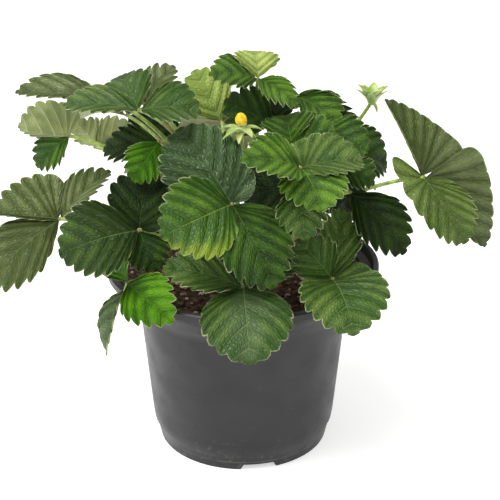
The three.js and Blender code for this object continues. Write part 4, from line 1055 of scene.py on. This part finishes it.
def makePot():
    lip = pot["height"] - pot["lipHeight"]
    inside = [(r - pot["wall"], z) for r, z in reversed(pot["outside"][2:])]
    innerFoot = pot["outside"][0][0] - pot["footWidth"]
    rim = pot["rimRadius"]
    brim = pot["outside"][-1][0]
    outline = [(0, pot["floorUnderside"]), (innerFoot, pot["floorUnderside"]), (innerFoot, 0)]
    outline += pot["outside"]
    outline += [(rim, lip), (rim, pot["height"] - pot["rounding"]), (rim - pot["rounding"], pot["height"])]
    outline += [(brim - pot["rounding"], pot["height"])] + inside
    outline += [(innerFoot, pot["floorTop"]), (0, pot["floorTop"])]
    bm = turnOutline(outline, pot["sides"])
    corners = [edge for edge in bm.edges if isPotCorner(edge)]
    bmesh.ops.bevel(bm, geom=corners, offset=pot["softCorners"], offset_type="OFFSET", segments=4,
                    profile=0.5, affect="EDGES", material=-1, clamp_overlap=True)
    cutFootNotches(bm, innerFoot)
    piece = newPiece("pot_fine", bm, [potPlastic], 32)
    cutDrainHoles(piece)
    seat(piece, "pot_plastic", "pot")


def isPotCorner(edge):  # the rings where the wall turns out to the brim
    heights = [vert.co.z for vert in edge.verts]
    if abs(heights[0] - heights[1]) > 0.01:
        return False
    ring = math.hypot(edge.verts[0].co.x, edge.verts[0].co.y)
    return any(abs(heights[0] - z) < 0.01 and abs(ring - r) < 0.6 for r, z in pot["outside"][4:7])


def cutFootNotches(bm, innerFoot):
    half = math.degrees(pot["notchWidth"] / 2 / pot["outside"][0][0])
    toe = pot["outside"][1]
    for vert in bm.verts:
        if vert.co.z > 0.01:
            continue
        turn = math.degrees(math.atan2(vert.co.y, vert.co.x))
        away = min(abs((turn - pot["notchFirst"] - n * 360 / pot["notchCount"] + 180) % 360 - 180)
                   for n in range(pot["notchCount"]))
        if away < half:
            ring = math.hypot(vert.co.x, vert.co.y)
            lift = pot["notchHeight"]
            if ring > innerFoot + 1:
                wider = ring + (toe[0] - ring) * lift / toe[1]
                vert.co.x *= wider / ring
                vert.co.y *= wider / ring
            vert.co.z = lift


def cutDrainHoles(piece):
    bm = bmesh.new()
    for hole in range(pot["holeCount"]):
        turn = hole / pot["holeCount"] * math.tau
        out = Vector((math.cos(turn), math.sin(turn), 0))
        place = out * pot["holeCircle"] + Vector((0, 0, pot["floorTop"]))
        bmesh.ops.create_cone(bm, cap_ends=True, segments=28, radius1=pot["holeRadius"],
                              radius2=pot["holeRadius"], depth=pot["cutterDepth"],
                              matrix=Matrix.Translation(place))
    cutter = newPiece("drainCutter", bm, [])
    cut = piece.modifiers.new("drainHoles", "BOOLEAN")
    cut.operation = "DIFFERENCE"
    cut.solver = "EXACT"
    cut.object = cutter
    bpy.context.view_layer.objects.active = piece
    with bpy.context.temp_override(object=piece, active_object=piece):
        bpy.ops.object.modifier_apply(modifier=cut.name)
    bpy.data.objects.remove(cutter)


potPlastic = potMaterial()
makePot()
print("pot made")

# Soil and crown

soil = {
    "wall": 2.15,            # mm from the pot's outside to the soil
    "slack": 0.3,            # mm more above the toe
    "bottom": 6.4,           # mm
    "bottomRadius": 51.3,    # mm
    "top": 111,              # mm
    "edgeDrop": 0.6,         # mm
    "lump": 1.3,             # mm
    "broadScale": 0.09,
    "fineScale": 0.35,
    "highest": 0.9,          # mm
    "sink": 0.25,            # mm
    "rings": 26,
    "sides": 110,
    "crumbs": 1500,
    "crumbSize": (0.5, 2.3),  # mm
    "crumbReach": 73,        # mm
    "crumbRarity": 2.2,      # the higher, the fewer large crumbs
    "crumbWidth": (0.7, 1.3),
    "crumbHeight": (0.5, 0.9),
    "dark": "#33281f", "brown": "#6a5443", "red": "#a0766a", "pink": "#e2c8ba",
}
crown = {  # mm
    "radius": 9.4, "height": 11.2, "depth": 8.6, "scales": 22, "lowest": 0.15, "levels": 0.7,
    "scaleLean": (0.2, 1.2), "scaleLength": (3.5, 5.5), "scaleWidth": (4.5, 7),
    "dark": "#4e3524", "light": "#8a6446",
}


def soilMaterial():
    made, tree, shader = newMaterial("soilEarth", 0.95, specular=0.2)
    colour = mixOf(tree, rangeOf(tree, noiseOf(tree, 260, 5, 0.7), 0.35, 0.7), paint(soil["dark"]),
                   paint(soil["brown"]))
    reds = rangeOf(tree, noiseOf(tree, 420, 4, 0.6), 0.6, 0.72, 0.0, 0.6)
    colour = mixOf(tree, reds, colour, paint(soil["red"]))
    tree.links.new(colour, shader.inputs["Base Color"])
    bumpInto(tree, shader, noiseOf(tree, 900, 6, 0.75), 0.9, 0.0012)
    return made


def crumbMaterial():
    made, tree, shader = newMaterial("soilCrumb", 0.9, specular=0.25)
    tone = addNode(tree, "ShaderNodeAttribute", attribute_name="crumbTone").outputs["Fac"]
    colour = mixOf(tree, rangeOf(tree, tone, 0.35, 0.75), paint(soil["dark"]), paint(soil["red"]))
    colour = mixOf(tree, rangeOf(tree, tone, 0.74, 0.92), colour, paint(soil["pink"]))
    grain = rangeOf(tree, noiseOf(tree, 1500, 3), 0.3, 0.7, 0.0, 0.5)
    colour = mixOf(tree, grain, colour, paint(soil["brown"]))
    tree.links.new(colour, shader.inputs["Base Color"])
    bumpInto(tree, shader, noiseOf(tree, 2500, 3), 0.6, 0.0004)
    return made


def crownMaterial():
    made, tree, shader = newMaterial("crownBark", 0.8, specular=0.3)
    streak = rangeOf(tree, noiseOf(tree, 300, 4, 0.6, (1, 1, 0.2)), 0.3, 0.7)
    colour = mixOf(tree, streak, paint(crown["dark"]), paint(crown["light"]))
    tree.links.new(colour, shader.inputs["Base Color"])
    bumpInto(tree, shader, noiseOf(tree, 700, 4, 0.6, (1, 1, 0.2)), 0.7, 0.0006)
    return made


def makeSoil():
    outside = pot["outside"]
    slant = (outside[7][0] - outside[6][0]) / (outside[7][1] - outside[6][1])
    edge = outside[6][0] + (soil["top"] - outside[6][1]) * slant - soil["wall"] - soil["slack"]
    toe = outside[2]
    low = [(0, soil["bottom"]), (soil["bottomRadius"], soil["bottom"]), (toe[0] - soil["wall"], toe[1])]
    low += [(r - soil["wall"] - soil["slack"], z) for r, z in outside[3:7]]
    outline = low + [(edge, soil["top"] - soil["edgeDrop"])]
    outline += [(edge * (1 - ring / soil["rings"]), soil["top"]) for ring in range(1, soil["rings"] + 1)]
    bm = turnOutline(outline, soil["sides"])
    for vert in bm.verts:
        if vert.co.z > soil["top"] - soil["edgeDrop"] - 0.01:
            vert.co.z += soilBump(vert.co.x, vert.co.y)
    piece = newPiece("soil_fine", bm, [soilEarth])
    seat(piece, "soil", "soil")


def soilBump(x, y):
    broad = noise.noise(Vector((x * soil["broadScale"], y * soil["broadScale"], 3.1)))
    fine = noise.noise(Vector((x * soil["fineScale"], y * soil["fineScale"], 8.7)))
    return min(soil["highest"], soil["lump"] * (broad * 1.1 + fine * 0.7)) - soil["sink"]


def scatterCrumbs():
    draw = random.Random(42)
    noise.seed_set(42)  # noise_vector would follow the clock otherwise
    bm = bmesh.new()
    toneLayer = bm.verts.layers.float.new("crumbTone")
    for crumb in range(soil["crumbs"]):
        ring = soil["crumbReach"] * math.sqrt(draw.random())
        turn = draw.uniform(0, math.tau)
        x, y = ring * math.cos(turn), ring * math.sin(turn)
        smallest, largest = soil["crumbSize"]
        size = smallest + (largest - smallest) * draw.random() ** soil["crumbRarity"]
        place = Vector((x, y, soil["top"] + soilBump(x, y) + size * 0.25))
        wide, deep = draw.uniform(*soil["crumbWidth"]), draw.uniform(*soil["crumbWidth"])
        squash = Matrix.Diagonal((wide, deep, draw.uniform(*soil["crumbHeight"]), 1))
        spin = Matrix.Rotation(draw.uniform(0, math.tau), 4, "Z")
        made = bmesh.ops.create_icosphere(bm, subdivisions=1, radius=size,
                                          matrix=Matrix.Translation(place) @ spin @ squash)
        tone = draw.random()
        for vert in made["verts"]:
            vert.co += noise.noise_vector(vert.co * 1.3) * size * 0.35
            vert[toneLayer] = tone
    piece = newPiece("soil_crumbs", bm, [soilCrumb], 30)
    seat(piece, "soil")


# Brown papery scales clasp the crown
def makeCrown():
    draw = random.Random(5)
    bm = bmesh.new()
    body = bmesh.ops.create_uvsphere(bm, u_segments=40, v_segments=24, radius=1)
    for vert in body["verts"]:
        lift = vert.co.z
        z = soil["top"] + (crown["height"] * lift if lift > 0 else crown["depth"] * lift)
        rough = 1 + 0.08 * noise.noise(vert.co * 3)
        vert.co = Vector((vert.co.x * crown["radius"] * rough, vert.co.y * crown["radius"] * rough, z))
    for order in range(crown["scales"]):
        turn = order * math.radians(goldenAngle)
        level = crown["lowest"] + crown["levels"] * order / crown["scales"]
        ring = crown["radius"] * math.sqrt(1 - level * level) + 0.2
        out = Vector((math.cos(turn), math.sin(turn), 0))
        base = out * ring + Vector((0, 0, soil["top"] + crown["height"] * level - 2))
        tip = base + out * draw.uniform(*crown["scaleLean"])
        tip.z += draw.uniform(*crown["scaleLength"])
        tip.z = min(tip.z, soil["top"] + crown["height"] + 0.6)
        growSepal(bm, base, tip, out, draw.uniform(*crown["scaleWidth"]), 0)
    piece = newPiece("crown_fine", bm, [crownBark], 45)
    seat(piece, "crown", "crown")


soilEarth = soilMaterial()
soilCrumb = crumbMaterial()
crownBark = crownMaterial()
makeSoil()
scatterCrumbs()
makeCrown()
print("soil and crown made")

# Floor and light

studio = {
    "floor": "#fbfbfb", "floorSize": 30, "floorGlow": 0.5, "world": 0.55,
    "topPower": 26, "topSize": 1.1, "topPlace": (-0.65, -0.35, 1.4),
    "fillPower": 7, "fillSize": 1.4, "fillPlace": (0.9, -1.5, 0.9), "target": (0, 0, 0.12),
}


def makeFloor():
    bm = bmesh.new()
    bmesh.ops.create_grid(bm, x_segments=1, y_segments=1, size=studio["floorSize"] * 500)
    made, tree, shader = newMaterial("floorPaper", 0.9, specular=0.1)
    tint = mixOf(tree, rangeOf(tree, noiseOf(tree, 3, 2), 0.3, 0.7), paint(studio["floor"]), paint("#f8f8f8"))
    tree.links.new(tint, shader.inputs["Base Color"])
    shader.inputs["Emission Color"].default_value = (1, 1, 1, 1)
    shader.inputs["Emission Strength"].default_value = studio["floorGlow"]
    newPiece("floor", bm, [made])


def makeLamp(name, place, target, size, power):
    data = bpy.data.lights.new(name, "AREA")
    data.shape = "SQUARE"
    data.size = size
    data.energy = power
    lamp = bpy.data.objects.new(name, data)
    lamp.location = place
    lamp.rotation_euler = (Vector(target) - Vector(place)).to_track_quat("-Z", "Y").to_euler()
    bpy.context.scene.collection.objects.link(lamp)


def makeLight():
    world = bpy.data.worlds.new("studioWorld")
    world.use_nodes = True
    world.node_tree.nodes["Background"].inputs["Color"].default_value = (1, 1, 1, 1)
    world.node_tree.nodes["Background"].inputs["Strength"].default_value = studio["world"]
    bpy.context.scene.world = world
    makeLamp("topLight", studio["topPlace"], studio["target"], studio["topSize"], studio["topPower"])
    makeLamp("frontFill", studio["fillPlace"], studio["target"], studio["fillSize"], studio["fillPower"])
    bpy.context.scene.view_settings.view_transform = "Standard"


makeFloor()
makeLight()
print("floor and light set")
